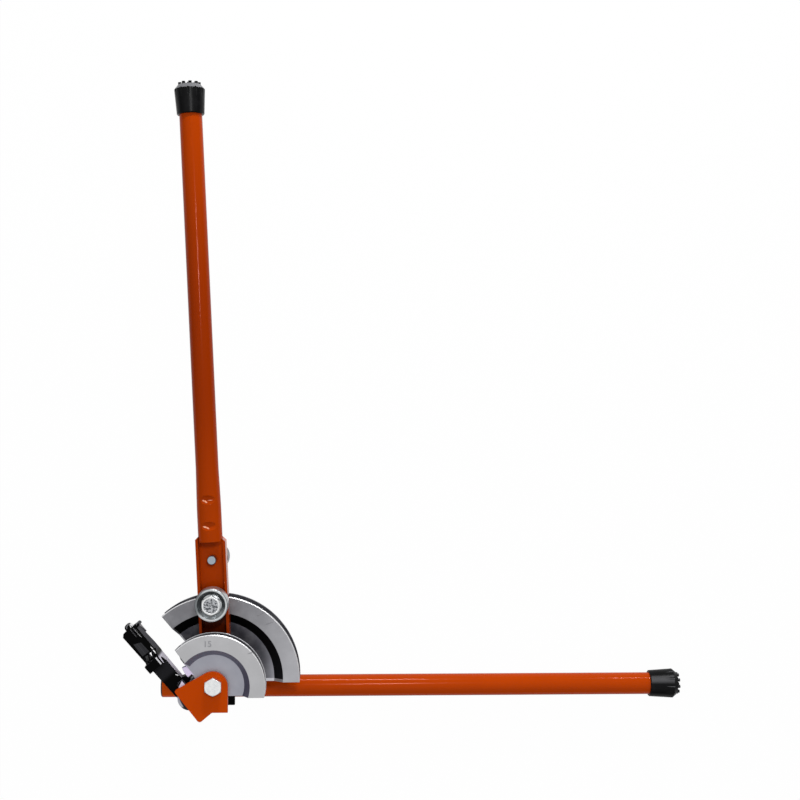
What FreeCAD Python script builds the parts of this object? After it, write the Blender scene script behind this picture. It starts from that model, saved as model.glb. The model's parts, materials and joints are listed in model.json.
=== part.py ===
import FreeCAD, Part
import math
import os
import Sketcher
from FreeCAD import Vector

# Lever pipe bender for 15 and 22 mm pipe, lying flat on its back.
# Millimetres and degrees. +Z is the bend axis and points away from the surface the tool lies on,
# +X runs along the lower handle, +Y along the raised lever. The origin is on the bend axis,
# level with the lowest point of the lower handle's foot.

SIZES = {
    # Lower handle and lever tubes
    "tube_radius": 12.7,
    "tube_wall": 2.0,
    "lower_tube_start": -66.9,
    "lower_tube_length": 602.5,
    "lower_tube_drop": 20.2,
    "lever_tube_length": 505.1,
    "lever_angle": 92.85,
    "lever_offset": 2.5,
    "spread": 0.85,
    "spread_even": 38.0,
    "spread_end": 82.0,
    "crimp_first": 17.9,
    "crimp_pitch": 29.2,
    "crimp_radius": 6.25,
    "crimp_depth": 2.5,
    # Rubber feet on both tube ends
    "foot_length": 33.0,
    "foot_bore_depth": 29.0,
    "foot_wall": 2.6,
    "foot_belly_wall": 4.3,
    "foot_belly_height": 27.9,
    "foot_crown_slope": 4.2,
    "foot_flute_radius": 2.2,
    "foot_flute_depth": 0.7,
    "foot_flutes": 12,
    "foot_stud_radius": 1.9,
    "foot_stud_height": 2.6,
    "foot_stud_inset": 2.0,
    "foot_studs": 9,
    "foot_inner_studs": 4,
    # Black plug in the short end of the lower tube
    "plug_rim": 1.6,
    "plug_depth": 14.0,
    "plug_wall": 1.8,
    # Bracket that joins the lower tube to the rear plate
    "bracket_rise": 26.0,
    "bracket_wall": 4.0,
    "bracket_bend": 6.0,
    "bracket_left": -40.0,
    "bracket_right": 16.0,
    "bracket_skirt": 5.0,
    # Cheek plates
    "plate_thickness": 5.0,
    "plate_round": 17.0,
    "front_plate_right": 15.9,
    "front_plate_bottom": -29.4,
    "rear_plate_right": 18.8,
    "rear_plate_bottom": -36.0,
    "plate_top": 27.9,
    "plate_left_x": -43.2,
    "plate_left_y": -5.3,
    "plate_tip_x": -15.3,
    "plate_tip_y": -41.0,
    "plate_notch_x": -1.4,
    # Pivot bolt, M12
    "bolt_radius": 6.0,
    "bolt_hex": 18.0,
    "bolt_head_height": 7.5,
    "nut_height": 10.8,
    "washer_radius": 12.0,
    "washer_thickness": 2.5,
    "bolt_end": 2.5,
    "fit_clearance": 0.05,
    # 15 mm former
    "pipe_15_radius": 7.6,
    "bend_15_radius": 54.0,
    "former_15_lip": 3.5,
    "former_15_cheek": 2.4,
    "former_15_recess": 11.0,
    "former_15_rim_width": 17.2,
    "former_15_cone": 6.6,
    "former_15_cut_angle": 127.8,
    "former_15_rim_left": 8.0,
    "former_15_web_left": 11.3,
    "former_15_cut_right": 12.0,
    # 22 mm former
    "pipe_22_radius": 11.1,
    "bend_22_radius": 90.0,
    "former_22_lip": 4.0,
    "former_22_cheek": 4.4,
    "former_22_recess": 9.0,
    "former_22_rim_width": 18.8,
    "former_22_cone": 10.2,
    "former_22_cut_angle": 130.6,
    "former_22_rim_left": 0.5,
    "former_22_cut_right": 4.0,
    "former_hub_radius": 17.0,
    "former_edge": 0.9,
    "lug_radius": 13.2,
    "stop_near": 23.5,
    "stop_far": 31.0,
    "stop_reach": 26.7,
    # Lever head
    "lever_depth": 21.0,
    "lever_wall": 3.0,
    "lever_head_margin": 28.7,
    "lever_tube_seat": 7.3,
    "lever_chamfer": 4.5,
    "lever_end_drop": 3.2,
    "thrust_washer": 1.0,
    "thrust_washer_radius": 15.0,
    "hub_gap": 0.25,
    "bush_wall": 2.0,
    # Rollers
    "roller_radius": 18.2,
    "rear_roller_radius": 17.0,
    "roller_edge": 0.8,
    "roller_dish": 6.0,
    "roller_dish_radius": 15.6,
    "roller_dish_floor": 11.2,
    "roller_bearing_radius": 8.0,
    "guide_15_thickness": 10.3,
    "front_roller_length": 22.5,
    "boss_radius": 11.0,
    "boss_stand": 1.0,
    "front_bolt_length": 35.0,
    "guide_22_thickness": 17.9,
    "rear_roller_length": 30.5,
    "rivet_radius": 5.0,
    "rivet_stand": 12.0,
    "rivet_edge": 0.6,
    "roller_washer_radius": 10.0,
    "roller_washer_thickness": 2.0,
    "roller_bolt_hex": 19.5,
    "head_recess_radius": 8.2,
    "head_recess_depth": 0.8,
    "axle_head_radius": 10.5,
    "axle_head": 3.0,
    "end_play": 0.3,
    # Hook pin
    "hook_pin_u": 6.0,
    "hook_pin_v": 29.5,
    "hook_pin_radius": 5.0,
    "hook_bush_wall": 2.0,
    "spacer_wall": 4.0,
    "circlip_thickness": 1.2,
    "circlip_width": 3.2,
    "circlip_groove": 0.6,
    "circlip_gap": 3.2,
    "hook_pin_end": 2.0,
    # Hook arm: u runs outwards along the arm, v away from the formers
    "hook_angle": 130.0,
    "hook_eye_wall": 4.0,
    "hook_bar_depth": 14.0,
    "hook_bar_gap": 0.5,
    "hook_bar_near": 23.5,
    "hook_bar_far": 43.0,
    "hook_ear_near": 16.5,
    "hook_ear_start": 21.0,
    "hook_ear_width": 5.0,
    "hook_ear_slope": 3.0,
    "hook_round": 6.0,
    "hook_edge": 1.0,
    "hook_notch_length": 11.0,
    "hook_notch_width": 4.0,
    "hook_notch_depth": 8.0,
    "hook_notch_wall": 1.2,
    "hook_beam_near": 25.4,
    "hook_beam_far": 43.5,
    "hook_beam_step": 12.0,
    "hook_beam_margin": 17.0,
    "hook_beam_depth": 24.5,
    "hook_nose_depth": 10.0,
    "hook_nose_inset": 3.5,
    "hook_nose_reach": 5.8,
    "hook_nose_width": 8.0,
    "hook_nose_round": 3.9,
    "hook_lip_reach": 4.4,
    "hook_lip_width": 3.6,
    "hook_relief_height": 8.0,
    "hook_relief_width": 4.5,
    "saddle_15_near": 23.5,
    "saddle_15_far": 42.5,
    "saddle_22_near": 30.5,
    "saddle_22_far": 48.5,
    "saddle_wall": 3.4,
    "saddle_lip": 1.2,
    "gusset_thickness": 1.8,
    "gusset_count": 4,
    "gusset_reach": 8.0,
    "gusset_inset": 2.4,
    "window_near": 27.2,
    "window_far": 38.5,
    "slot_width": 2.0,
    "slot_length": 10.0,
    "slot_depth": 10.0,
}

doc = FreeCAD.newDocument("lever_pipe_bender")
sheet = doc.addObject("Spreadsheet::Sheet", "dims")
for row, (alias, number) in enumerate(SIZES.items(), start=1):
    sheet.set("A%d" % row, alias)
    sheet.set("B%d" % row, str(number))
    sheet.setAlias("B%d" % row, alias)
doc.recompute()

parts = []

# Sizes that follow from the sheet
BELLY_RADIUS = "(dims.tube_radius + dims.foot_belly_wall)"
THICKNESS = {size: "2 * (dims.pipe_%s_radius + dims.former_%s_cheek)" % (size, size)
             for size in ("15", "22")}
FLANGE = {size: "(dims.bend_%s_radius + dims.former_%s_lip)" % (size, size)
          for size in ("15", "22")}
RIM = {size: "(%s - dims.former_%s_rim_width)" % (FLANGE[size], size) for size in ("15", "22")}
WEB_15 = THICKNESS["15"] + " - dims.former_15_recess"
WEB_22 = THICKNESS["22"] + " - 2 * dims.former_22_recess"

# Levels above the surface, from the lower tube up to the front plate
TUBE_AXIS = BELLY_RADIUS
REAR_PLATE = TUBE_AXIS + " + dims.bracket_rise"
FORMER_22 = REAR_PLATE + " + dims.plate_thickness"
REAR_THRUST = FORMER_22 + " + " + THICKNESS["22"]
LEVER = REAR_THRUST + " + dims.thrust_washer"
FRONT_THRUST = LEVER + " + dims.lever_depth"
FORMER_15 = FRONT_THRUST + " + dims.thrust_washer"
FRONT_PLATE = FORMER_15 + " + " + WEB_15
BOLT_HEAD = FRONT_PLATE + " + dims.plate_thickness"

# Places along the lever, measured from the bend axis
FRONT_ROLLER_PLACE = ("(dims.bend_15_radius + dims.pipe_15_radius + dims.guide_15_thickness"
                      " + dims.roller_radius)")
REAR_ROLLER_PLACE = ("(dims.bend_22_radius + dims.pipe_22_radius + dims.guide_22_thickness"
                     " + dims.rear_roller_radius)")
LEVER_TOP = "(%s + dims.lever_head_margin)" % REAR_ROLLER_PLACE
LEVER_TUBE_START = "(%s - dims.lever_tube_seat)" % LEVER_TOP


def value(text):
    """The number that an expression on the size sheet gives now."""
    result = sheet.evalExpression(str(text).replace("dims.", ""))
    return float(getattr(result, "Value", result))


def turned(u, v, angle):
    """A point of the u, v axes turned by an angle, as two expressions."""
    x = "(%s) * cos(%s) - (%s) * sin(%s)" % (u, angle, v, angle)
    y = "(%s) * sin(%s) + (%s) * cos(%s)" % (u, angle, v, angle)
    return x, y


HOOK_PIN_X, HOOK_PIN_Y = turned("dims.hook_pin_u", "dims.hook_pin_v", "dims.hook_angle")


def on_lever(distance):
    """A point on the lever's centre line, at a distance from the bend axis."""
    return turned(distance, "-dims.lever_offset", "dims.lever_angle")


def place(piece, x="0", y="0", z="0", turn="0", axis=(0, 0, 1)):
    """Put a piece at bound coordinates, turned about an axis."""
    piece.Placement = FreeCAD.Placement(Vector(), FreeCAD.Rotation(Vector(*axis), 1))
    piece.setExpression("Placement.Base.x", x)
    piece.setExpression("Placement.Base.y", y)
    piece.setExpression("Placement.Base.z", z)
    piece.setExpression("Placement.Rotation.Angle", turn)
    return piece


def finish(piece, label):
    """Name a piece and add it to the list of sub-parts."""
    piece.Label = label
    parts.append(piece)
    return piece


def new_body(label):
    return finish(doc.addObject("PartDesign::Body", label), label)


def origin_feature(body, role):
    return next(item for item in body.Origin.OriginFeatures if item.Role == role)


def new_sketch(body, name, role, height="0"):
    """A sketch on one of the body's own origin planes, raised along its normal."""
    sketch = body.newObject("Sketcher::SketchObject", name)
    sketch.AttachmentSupport = [(origin_feature(body, role), "")]
    sketch.MapMode = "FlatFace"
    sketch.setExpression("AttachmentOffset.Base.z", height)
    return sketch


def bind(sketch, constraint, name, text):
    index = sketch.addConstraint(constraint)
    sketch.renameConstraint(index, name)
    sketch.setExpression("Constraints." + name, text)


def hold_point(sketch, geometry, position, x, y):
    """Hold a point of the sketch at bound coordinates."""
    for kind, text in (("DistanceX", x), ("DistanceY", y)):
        name = "%s_%d_%d" % (kind, geometry, position)
        bind(sketch, Sketcher.Constraint(kind, -1, 1, geometry, position, value(text)), name, text)


def hold_radius(sketch, geometry, text):
    name = "radius_%d" % geometry
    bind(sketch, Sketcher.Constraint("Radius", geometry, value(text)), name, text)


def add_circle(sketch, x, y, radius):
    centre = Vector(value(x), value(y), 0)
    ring = sketch.addGeometry(Part.Circle(centre, Vector(0, 0, 1), value(radius)), False)
    hold_point(sketch, ring, 3, x, y)
    hold_radius(sketch, ring, radius)


def add_arc(sketch, centre, radius, start, end):
    """An arc that runs counterclockwise from one point to the other."""
    first = math.atan2(start.y - centre.y, start.x - centre.x)
    last = math.atan2(end.y - centre.y, end.x - centre.x)
    if last <= first:
        last += 2 * math.pi
    circle = Part.Circle(centre, Vector(0, 0, 1), radius)
    return sketch.addGeometry(Part.ArcOfCircle(circle, first, last), False)


def add_outline(sketch, corners):
    """A closed outline through bound corners (x, y) or, with a rounding, (x, y, radius)."""
    points = [Vector(value(corner[0]), value(corner[1]), 0) for corner in corners]
    count = len(corners)
    leave = []
    arrive = []
    arcs = []
    for index, corner in enumerate(corners):
        point = points[index]
        back = (points[index - 1] - point).normalize()
        ahead = (points[(index + 1) % count] - point).normalize()
        if len(corner) < 3:
            arrive.append(point)
            leave.append(point)
            arcs.append(None)
            continue
        radius = value(corner[2])
        half_angle = back.getAngle(ahead) / 2
        tangent = radius / math.tan(half_angle)
        arrive.append(point + back * tangent)
        leave.append(point + ahead * tangent)
        middle = (back + ahead).normalize()
        centre = point + middle * (radius / math.sin(half_angle))
        arcs.append((centre, radius, back.cross(ahead).z < 0))
    lines = []
    for index in range(count):
        segment = Part.LineSegment(leave[index], arrive[(index + 1) % count])
        lines.append(sketch.addGeometry(segment, False))
    for index, corner in enumerate(corners):
        before = lines[index - 1]
        after = lines[index]
        if arcs[index] is None:
            sketch.addConstraint(Sketcher.Constraint("Coincident", before, 2, after, 1))
            hold_point(sketch, after, 1, corner[0], corner[1])
            continue
        centre, radius, left_turn = arcs[index]
        ends = (arrive[index], leave[index]) if left_turn else (leave[index], arrive[index])
        arc = add_arc(sketch, centre, radius, *ends)
        at_arrive, at_leave = (1, 2) if left_turn else (2, 1)
        apex = sketch.addGeometry(Part.Point(points[index]), True)
        hold_point(sketch, apex, 1, corner[0], corner[1])
        sketch.addConstraint(Sketcher.Constraint("PointOnObject", apex, 1, before))
        sketch.addConstraint(Sketcher.Constraint("PointOnObject", apex, 1, after))
        sketch.addConstraint(Sketcher.Constraint("Tangent", before, 2, arc, at_arrive))
        sketch.addConstraint(Sketcher.Constraint("Tangent", arc, at_leave, after, 1))
        hold_radius(sketch, arc, corner[2])


def add_rectangle(sketch, x_low, y_low, x_high, y_high):
    add_outline(sketch, [(x_low, y_low), (x_high, y_low), (x_high, y_high), (x_low, y_high)])


def add_slot(sketch, first, second, radius):
    """A slot outline: the hull of two equal circles."""
    start = Vector(value(first[0]), value(first[1]), 0)
    end = Vector(value(second[0]), value(second[1]), 0)
    along = (end - start).normalize()
    side = Vector(-along.y, along.x, 0) * value(radius)
    near = add_arc(sketch, start, value(radius), start + side, start - side)
    right = sketch.addGeometry(Part.LineSegment(start - side, end - side), False)
    far = add_arc(sketch, end, value(radius), end - side, end + side)
    left = sketch.addGeometry(Part.LineSegment(end + side, start + side), False)
    chain = [near, right, far, left]
    for index, geometry in enumerate(chain):
        following = chain[(index + 1) % 4]
        sketch.addConstraint(Sketcher.Constraint("Tangent", geometry, 2, following, 1))
    hold_point(sketch, near, 3, *first)
    hold_point(sketch, far, 3, *second)
    hold_radius(sketch, near, radius)


def add_groove_profile(sketch, axis_x, axis_y, radius, far_x):
    """Half round at the pipe's centre, with straight sides out to far_x."""
    centre = Vector(value(axis_x), value(axis_y), 0)
    up = Vector(0, value(radius), 0)
    out = Vector(value(far_x) - value(axis_x), 0, 0)
    bowl = add_arc(sketch, centre, value(radius), centre + up, centre - up)
    lower = sketch.addGeometry(Part.LineSegment(centre - up, centre - up + out), False)
    back = sketch.addGeometry(Part.LineSegment(centre - up + out, centre + up + out), False)
    upper = sketch.addGeometry(Part.LineSegment(centre + up + out, centre + up), False)
    sketch.addConstraint(Sketcher.Constraint("Tangent", bowl, 2, lower, 1))
    sketch.addConstraint(Sketcher.Constraint("Coincident", lower, 2, back, 1))
    sketch.addConstraint(Sketcher.Constraint("Coincident", back, 2, upper, 1))
    sketch.addConstraint(Sketcher.Constraint("Tangent", upper, 2, bowl, 1))
    sketch.addConstraint(Sketcher.Constraint("Horizontal", lower))
    sketch.addConstraint(Sketcher.Constraint("Vertical", back))
    hold_point(sketch, bowl, 3, axis_x, axis_y)
    hold_radius(sketch, bowl, radius)
    bind(sketch, Sketcher.Constraint("DistanceX", -1, 1, back, 1, value(far_x)), "reach", far_x)


def pad(body, name, sketch, length, against_normal=False):
    feature = body.newObject("PartDesign::Pad", name)
    feature.Profile = sketch
    feature.setExpression("Length", length)
    feature.Reversed = against_normal
    return feature


def pocket(body, name, sketch, length, along_normal=False):
    feature = body.newObject("PartDesign::Pocket", name)
    feature.Profile = sketch
    feature.setExpression("Length", length)
    feature.Reversed = along_normal
    return feature


def revolve(body, name, sketch, kind="PartDesign::Revolution"):
    feature = body.newObject(kind, name)
    feature.Profile = sketch
    feature.ReferenceAxis = (sketch, ["V_Axis"])
    feature.Angle = 360
    return feature


def polar(body, name, feature, count):
    """Repeat a feature round the body's Y axis."""
    pattern = body.newObject("PartDesign::PolarPattern", name)
    pattern.Originals = [feature]
    pattern.Axis = (origin_feature(body, "Y_Axis"), [""])
    pattern.Angle = 360
    pattern.setExpression("Occurrences", count)
    body.Tip = pattern
    return pattern


def ring(label, inner, outer, length, x="0", y="0", z="0"):
    """Washer, spacer or bush: a round ring along Z."""
    body = new_body(label)
    sketch = new_sketch(body, label + "_rings", "XY_Plane")
    add_circle(sketch, "0", "0", outer)
    add_circle(sketch, "0", "0", inner)
    pad(body, label + "_length", sketch, length)
    return place(body, x, y, z)


def hexagon(sketch, across_flats):
    """Six corners, two of them on the sketch's vertical axis."""
    corner = "(%s) / 2 / cos(30)" % across_flats
    angles = [30 + 60 * step for step in range(6)]
    add_outline(sketch, [turned(corner, "0", str(angle)) for angle in angles])


def chamfer_hexagon(body, name, across_flats, level, rising):
    """Turn off the hexagon's corners at one end face."""
    sketch = new_sketch(body, name + "_cone", "XZ_Plane")
    inside = "(%s) / 2" % across_flats
    outside = "(%s) * 0.7" % across_flats
    sign = "-" if rising else "+"
    lower = "(%s) %s (%s) * 0.2 * tan(30)" % (level, sign, across_flats)
    corners = [(inside, level), (outside, lower), (outside, level)]
    add_outline(sketch, corners)
    return revolve(body, name, sketch, "PartDesign::Groove")


def hex_bolt(label, across_flats, length, x, y, z):
    """Hexagon bolt: head above z, plain shank below it."""
    body = new_body(label)
    head = new_sketch(body, label + "_hexagon", "XY_Plane")
    hexagon(head, across_flats)
    pad(body, label + "_head", head, "dims.bolt_head_height")
    shank = new_sketch(body, label + "_round", "XY_Plane")
    add_circle(shank, "0", "0", "dims.bolt_radius")
    pad(body, label + "_shank", shank, length, against_normal=True)
    chamfer_hexagon(body, label + "_chamfer", across_flats, "dims.bolt_head_height", True)
    return place(body, x, y, z)


def add_rod(name, radius, length):
    """Solid rod along +Y from the origin."""
    rod = doc.addObject("Part::Cylinder", name)
    rod.setExpression("Radius", radius)
    rod.setExpression("Height", length)
    return place(rod, turn="-90", axis=(1, 0, 0))


def cut_solid(label, base, tool):
    cut = doc.addObject("Part::Cut", label)
    cut.Base = base
    cut.Tool = tool
    return cut


TUBE_BORE = "dims.tube_radius - dims.tube_wall"

# Lower handle: a plain steel tube, laid along +X
lower_tube = finish(
    cut_solid(
        "lower_handle_tube",
        add_rod("lower_outer", "dims.tube_radius", "dims.lower_tube_length"),
        add_rod("lower_inner", TUBE_BORE, "dims.lower_tube_length"),
    ),
    "lower_handle_tube",
)
place(lower_tube, "dims.lower_tube_start", "-dims.lower_tube_drop", TUBE_AXIS, "-90")

# Lever handle: the same tube, pressed wider at its lower end and crimped twice across its front
CRIMP_PLACES = ("dims.crimp_first", "dims.crimp_first + dims.crimp_pitch")
LEVER_TURN = "dims.lever_angle - 90"
LEVER_TUBE_AXIS = LEVER + " + dims.lever_wall + dims.tube_radius"


def add_spread_rod(name):
    """The lever tube's outside, along +Y, whose first stretch is wider across X."""
    sections = []
    for word, distance, spread in (
        ("mouth", "0", "dims.spread"),
        ("even", "dims.spread_even", "dims.spread"),
        ("round", "dims.spread_end", "0"),
    ):
        oval = doc.addObject("Part::Ellipse", "%s_%s" % (name, word))
        oval.setExpression("MajorRadius", "dims.tube_radius + " + spread)
        oval.setExpression("MinorRadius", "dims.tube_radius")
        place(oval, "0", distance, "0", "-90", (1, 0, 0))
        sections.append(oval)
    press = doc.addObject("Part::Loft", name + "_pressed")
    press.Sections = sections
    press.Solid = True
    press.Ruled = True
    shaft = add_rod(name + "_shaft", "dims.tube_radius",
                    "dims.lever_tube_length - dims.spread_end")
    shaft.setExpression("Placement.Base.y", "dims.spread_end")
    whole = doc.addObject("Part::MultiFuse", name)
    whole.Shapes = [press, shaft]
    return whole


def crimp(rod, inset):
    """Cut both crimps across a rod's upper side, their wall set in by inset."""
    crimp_height = "dims.tube_radius - dims.crimp_depth + dims.crimp_radius"
    cutters = []
    for number, distance in enumerate(CRIMP_PLACES, start=1):
        cutter = doc.addObject("Part::Cylinder", "%s_crimp_%d" % (rod.Name, number))
        cutter.setExpression("Radius", "dims.crimp_radius + " + inset)
        cutter.setExpression("Height", "4 * dims.tube_radius")
        place(cutter, "-2 * dims.tube_radius", distance, crimp_height, "90", (0, 1, 0))
        cutters.append(cutter)
    pair = doc.addObject("Part::MultiFuse", rod.Name + "_crimps")
    pair.Shapes = cutters
    return cut_solid(rod.Name + "_dented", rod, pair)


lever_tube = finish(
    cut_solid(
        "lever_tube",
        crimp(add_spread_rod("lever_outer"), "0"),
        crimp(add_rod("lever_inner", TUBE_BORE, "dims.lever_tube_length"), "dims.tube_wall"),
    ),
    "lever_tube",
)
place(lever_tube, *on_lever(LEVER_TUBE_START), LEVER_TUBE_AXIS, LEVER_TURN)


def add_foot(label, x, y, z, turn):
    """Rubber foot: belled sleeve with flutes, domed end and a crown of studs, mouth at the origin."""
    body = new_body(label)
    profile = new_sketch(body, label + "_profile", "XY_Plane")
    bore = "dims.tube_radius + dims.fit_clearance"
    mouth = "dims.tube_radius + dims.foot_wall"
    crown = BELLY_RADIUS + " - dims.foot_crown_slope"
    add_outline(profile, [
        (bore, "0"),
        (mouth + " - 0.6", "0"),
        (mouth, "0.8"),
        (BELLY_RADIUS, "dims.foot_belly_height"),
        (crown, "dims.foot_length"),
        ("0", "dims.foot_length"),
        ("0", "dims.foot_bore_depth"),
        (bore, "dims.foot_bore_depth"),
    ])
    revolve(body, label + "_sleeve", profile)
    flute = new_sketch(body, label + "_flute", "XZ_Plane", "-(dims.foot_length + 1)")
    add_circle(flute, BELLY_RADIUS + " + dims.foot_flute_radius - dims.foot_flute_depth",
               "0", "dims.foot_flute_radius")
    flute_cut = pocket(body, label + "_flute_cut", flute, "dims.foot_length + 2",
                       along_normal=True)
    polar(body, label + "_flutes", flute_cut, "dims.foot_flutes")
    outer_circle = "%s - dims.foot_stud_inset" % crown
    for word, circle, count in (
        ("outer", outer_circle, "dims.foot_studs"),
        ("inner", "(%s) / 2.2" % outer_circle, "dims.foot_inner_studs"),
    ):
        stud = new_sketch(body, "%s_%s_stud" % (label, word), "XZ_Plane", "-dims.foot_length + 1")
        add_circle(stud, circle, "0", "dims.foot_stud_radius")
        peg = pad(body, "%s_%s_peg" % (label, word), stud, "dims.foot_stud_height + 1",
                  against_normal=True)
        polar(body, "%s_%s_studs" % (label, word), peg, count)
    return place(body, x, y, z, turn)


add_foot(
    "lower_handle_foot",
    "dims.lower_tube_start + dims.lower_tube_length - dims.foot_bore_depth",
    "-dims.lower_tube_drop",
    TUBE_AXIS,
    "-90",
)
LEVER_FOOT_MOUTH = "(%s + dims.lever_tube_length - dims.foot_bore_depth)" % LEVER_TUBE_START
add_foot("lever_foot", *on_lever(LEVER_FOOT_MOUTH), LEVER_TUBE_AXIS, LEVER_TURN)

# Black plug pushed into the short end of the lower tube
plug = new_body("lower_tube_plug")
plug_profile = new_sketch(plug, "plug_profile", "XY_Plane")
PLUG_BORE = TUBE_BORE + " - dims.fit_clearance"
add_outline(plug_profile, [
    ("0", "0"),
    ("dims.tube_radius - 1.3", "0"),
    ("dims.tube_radius - 0.3", "dims.plug_rim / 2"),
    ("dims.tube_radius - 0.3", "dims.plug_rim"),
    (PLUG_BORE, "dims.plug_rim"),
    (PLUG_BORE, "dims.plug_depth"),
    (PLUG_BORE + " - dims.plug_wall", "dims.plug_depth"),
    (PLUG_BORE + " - dims.plug_wall", "dims.plug_rim + dims.plug_wall"),
    ("0", "dims.plug_rim + dims.plug_wall"),
])
revolve(plug, "plug_cup", plug_profile)
place(plug, "dims.lower_tube_start - dims.plug_rim", "-dims.lower_tube_drop", TUBE_AXIS, "-90")


def add_plate(label, right, bottom, level):
    """Cheek plate that holds the bolt and the hook pin."""
    body = new_body(label)
    sketch = new_sketch(body, label + "_outline", "XY_Plane")
    add_outline(sketch, [
        ("dims.plate_notch_x", bottom),
        (right, bottom, "0.5"),
        (right, "dims.plate_top", "dims.plate_round"),
        ("dims.plate_left_x", "dims.plate_left_y", "2.5"),
        ("dims.plate_tip_x", "dims.plate_tip_y", "3.3"),
    ])
    add_circle(sketch, "0", "0", "dims.bolt_radius + dims.fit_clearance")
    pad(body, label + "_sheet", sketch, "dims.plate_thickness")
    return place(body, z=level)


add_plate("front_plate", "dims.front_plate_right", "dims.front_plate_bottom", FRONT_PLATE)
rear_plate = add_plate("rear_plate", "dims.rear_plate_right", "dims.rear_plate_bottom", REAR_PLATE)
pin_hole = new_sketch(rear_plate, "rear_plate_pin", "XY_Plane")
add_circle(pin_hole, HOOK_PIN_X, HOOK_PIN_Y, "dims.hook_pin_radius + dims.fit_clearance")
pocket(rear_plate, "rear_plate_pin_hole", pin_hole, "dims.plate_thickness", along_normal=True)

# Pressed bracket: a channel whose cheeks hold the lower tube and whose web lies on the rear plate
bracket = new_body("handle_bracket")
bracket_section = new_sketch(bracket, "bracket_section", "YZ_Plane", "dims.bracket_left")
CHEEK = "dims.tube_radius + dims.fit_clearance"
CHEEK_OUT = CHEEK + " + dims.bracket_wall"
add_outline(bracket_section, [
    ("-dims.lower_tube_drop - (%s)" % CHEEK_OUT, "-dims.bracket_skirt"),
    ("-dims.lower_tube_drop - (%s)" % CHEEK, "-dims.bracket_skirt"),
    ("-dims.lower_tube_drop - (%s)" % CHEEK, "dims.bracket_rise - dims.bracket_wall",
     "dims.bracket_bend - dims.bracket_wall"),
    ("-dims.lower_tube_drop + %s" % CHEEK, "dims.bracket_rise - dims.bracket_wall",
     "dims.bracket_bend - dims.bracket_wall"),
    ("-dims.lower_tube_drop + %s" % CHEEK, "-dims.bracket_skirt"),
    ("-dims.lower_tube_drop + %s" % CHEEK_OUT, "-dims.bracket_skirt"),
    ("-dims.lower_tube_drop + %s" % CHEEK_OUT, "dims.bracket_rise", "dims.bracket_bend"),
    ("-dims.lower_tube_drop - (%s)" % CHEEK_OUT, "dims.bracket_rise", "dims.bracket_bend"),
])
pad(bracket, "bracket_channel", bracket_section, "dims.bracket_right - dims.bracket_left")
nut_gap = new_sketch(bracket, "bracket_nut_gap", "XY_Plane", "dims.bracket_rise")
add_circle(nut_gap, "0", "0", "dims.washer_radius + 1")
pocket(bracket, "bracket_nut_room", nut_gap,
       "dims.washer_thickness + dims.nut_height + dims.bolt_end + 1")
pin_gap = new_sketch(bracket, "bracket_pin_gap", "XY_Plane", "dims.bracket_rise")
add_circle(pin_gap, HOOK_PIN_X, HOOK_PIN_Y, "dims.hook_pin_radius + dims.circlip_width + 0.8")
pocket(bracket, "bracket_pin_room", pin_gap, "dims.bracket_wall + dims.bracket_bend")
place(bracket, z=TUBE_AXIS)


def cut_sector(body, name, size, edge, floor):
    """Cut away what lies beyond the two end lines of a former, from its top down to the floor."""
    own = "dims.former_%s_" % size
    angle = own + "cut_angle"
    left = own + edge
    right = own + "cut_right"
    corner_x = "-(%s * cos(%s) + %s) / sin(%s)" % (right, angle, left, angle)
    reach = "1.3 * " + FLANGE[size]
    outside = FLANGE[size] + " + 6"
    top_x = "%s + %s * cos(%s)" % (corner_x, reach, angle)
    top_y = "-%s + %s * sin(%s)" % (right, reach, angle)
    sketch = new_sketch(body, name + "_lines", "XY_Plane", THICKNESS[size])
    add_outline(sketch, [
        (corner_x, "-" + right),
        (top_x, top_y),
        ("-(%s)" % outside, outside),
        ("-(%s)" % outside, "-(%s)" % outside),
        (outside, "-(%s)" % outside),
        (outside, "-" + right),
    ])
    return pocket(body, name, sketch, "%s - (%s)" % (THICKNESS[size], floor))


def add_pipe_groove(body, size):
    """Turn the pipe's half-round groove into a former's rim."""
    name = "former_%s_groove" % size
    sketch = new_sketch(body, name + "_section", "XZ_Plane")
    add_groove_profile(sketch, "dims.bend_%s_radius" % size, THICKNESS[size] + " / 2",
                       "dims.pipe_%s_radius" % size, FLANGE[size] + " + 3")
    return revolve(body, name, sketch, "PartDesign::Groove")


def rim_corners(size):
    """The two outer corners of a former's section, from the bottom up, with small bevels."""
    flange = FLANGE[size]
    top = THICKNESS[size]
    return [
        (flange + " - dims.former_edge", "0"),
        (flange, "dims.former_edge"),
        (flange, top + " - dims.former_edge"),
        (flange + " - dims.former_edge", top),
    ]


def add_lug(body, label, base, height):
    """Arm of the web that reaches out to the hook pin, with both bores."""
    lug = new_sketch(body, label + "_lug_outline", "XY_Plane", base)
    add_slot(lug, ("0", "0"), (HOOK_PIN_X, HOOK_PIN_Y), "dims.lug_radius")
    pad(body, label + "_lug", lug, height)


def bore_former(body, label, depth):
    for word, x, y, radius in (
        ("bolt", "0", "0", "dims.bolt_radius"),
        ("pin", HOOK_PIN_X, HOOK_PIN_Y, "dims.hook_pin_radius"),
    ):
        sketch = new_sketch(body, "%s_%s_circle" % (label, word), "XY_Plane", "-1")
        add_circle(sketch, x, y, radius + " + dims.fit_clearance")
        pocket(body, "%s_%s_hole" % (label, word), sketch, depth + " + 2", along_normal=True)


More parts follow.
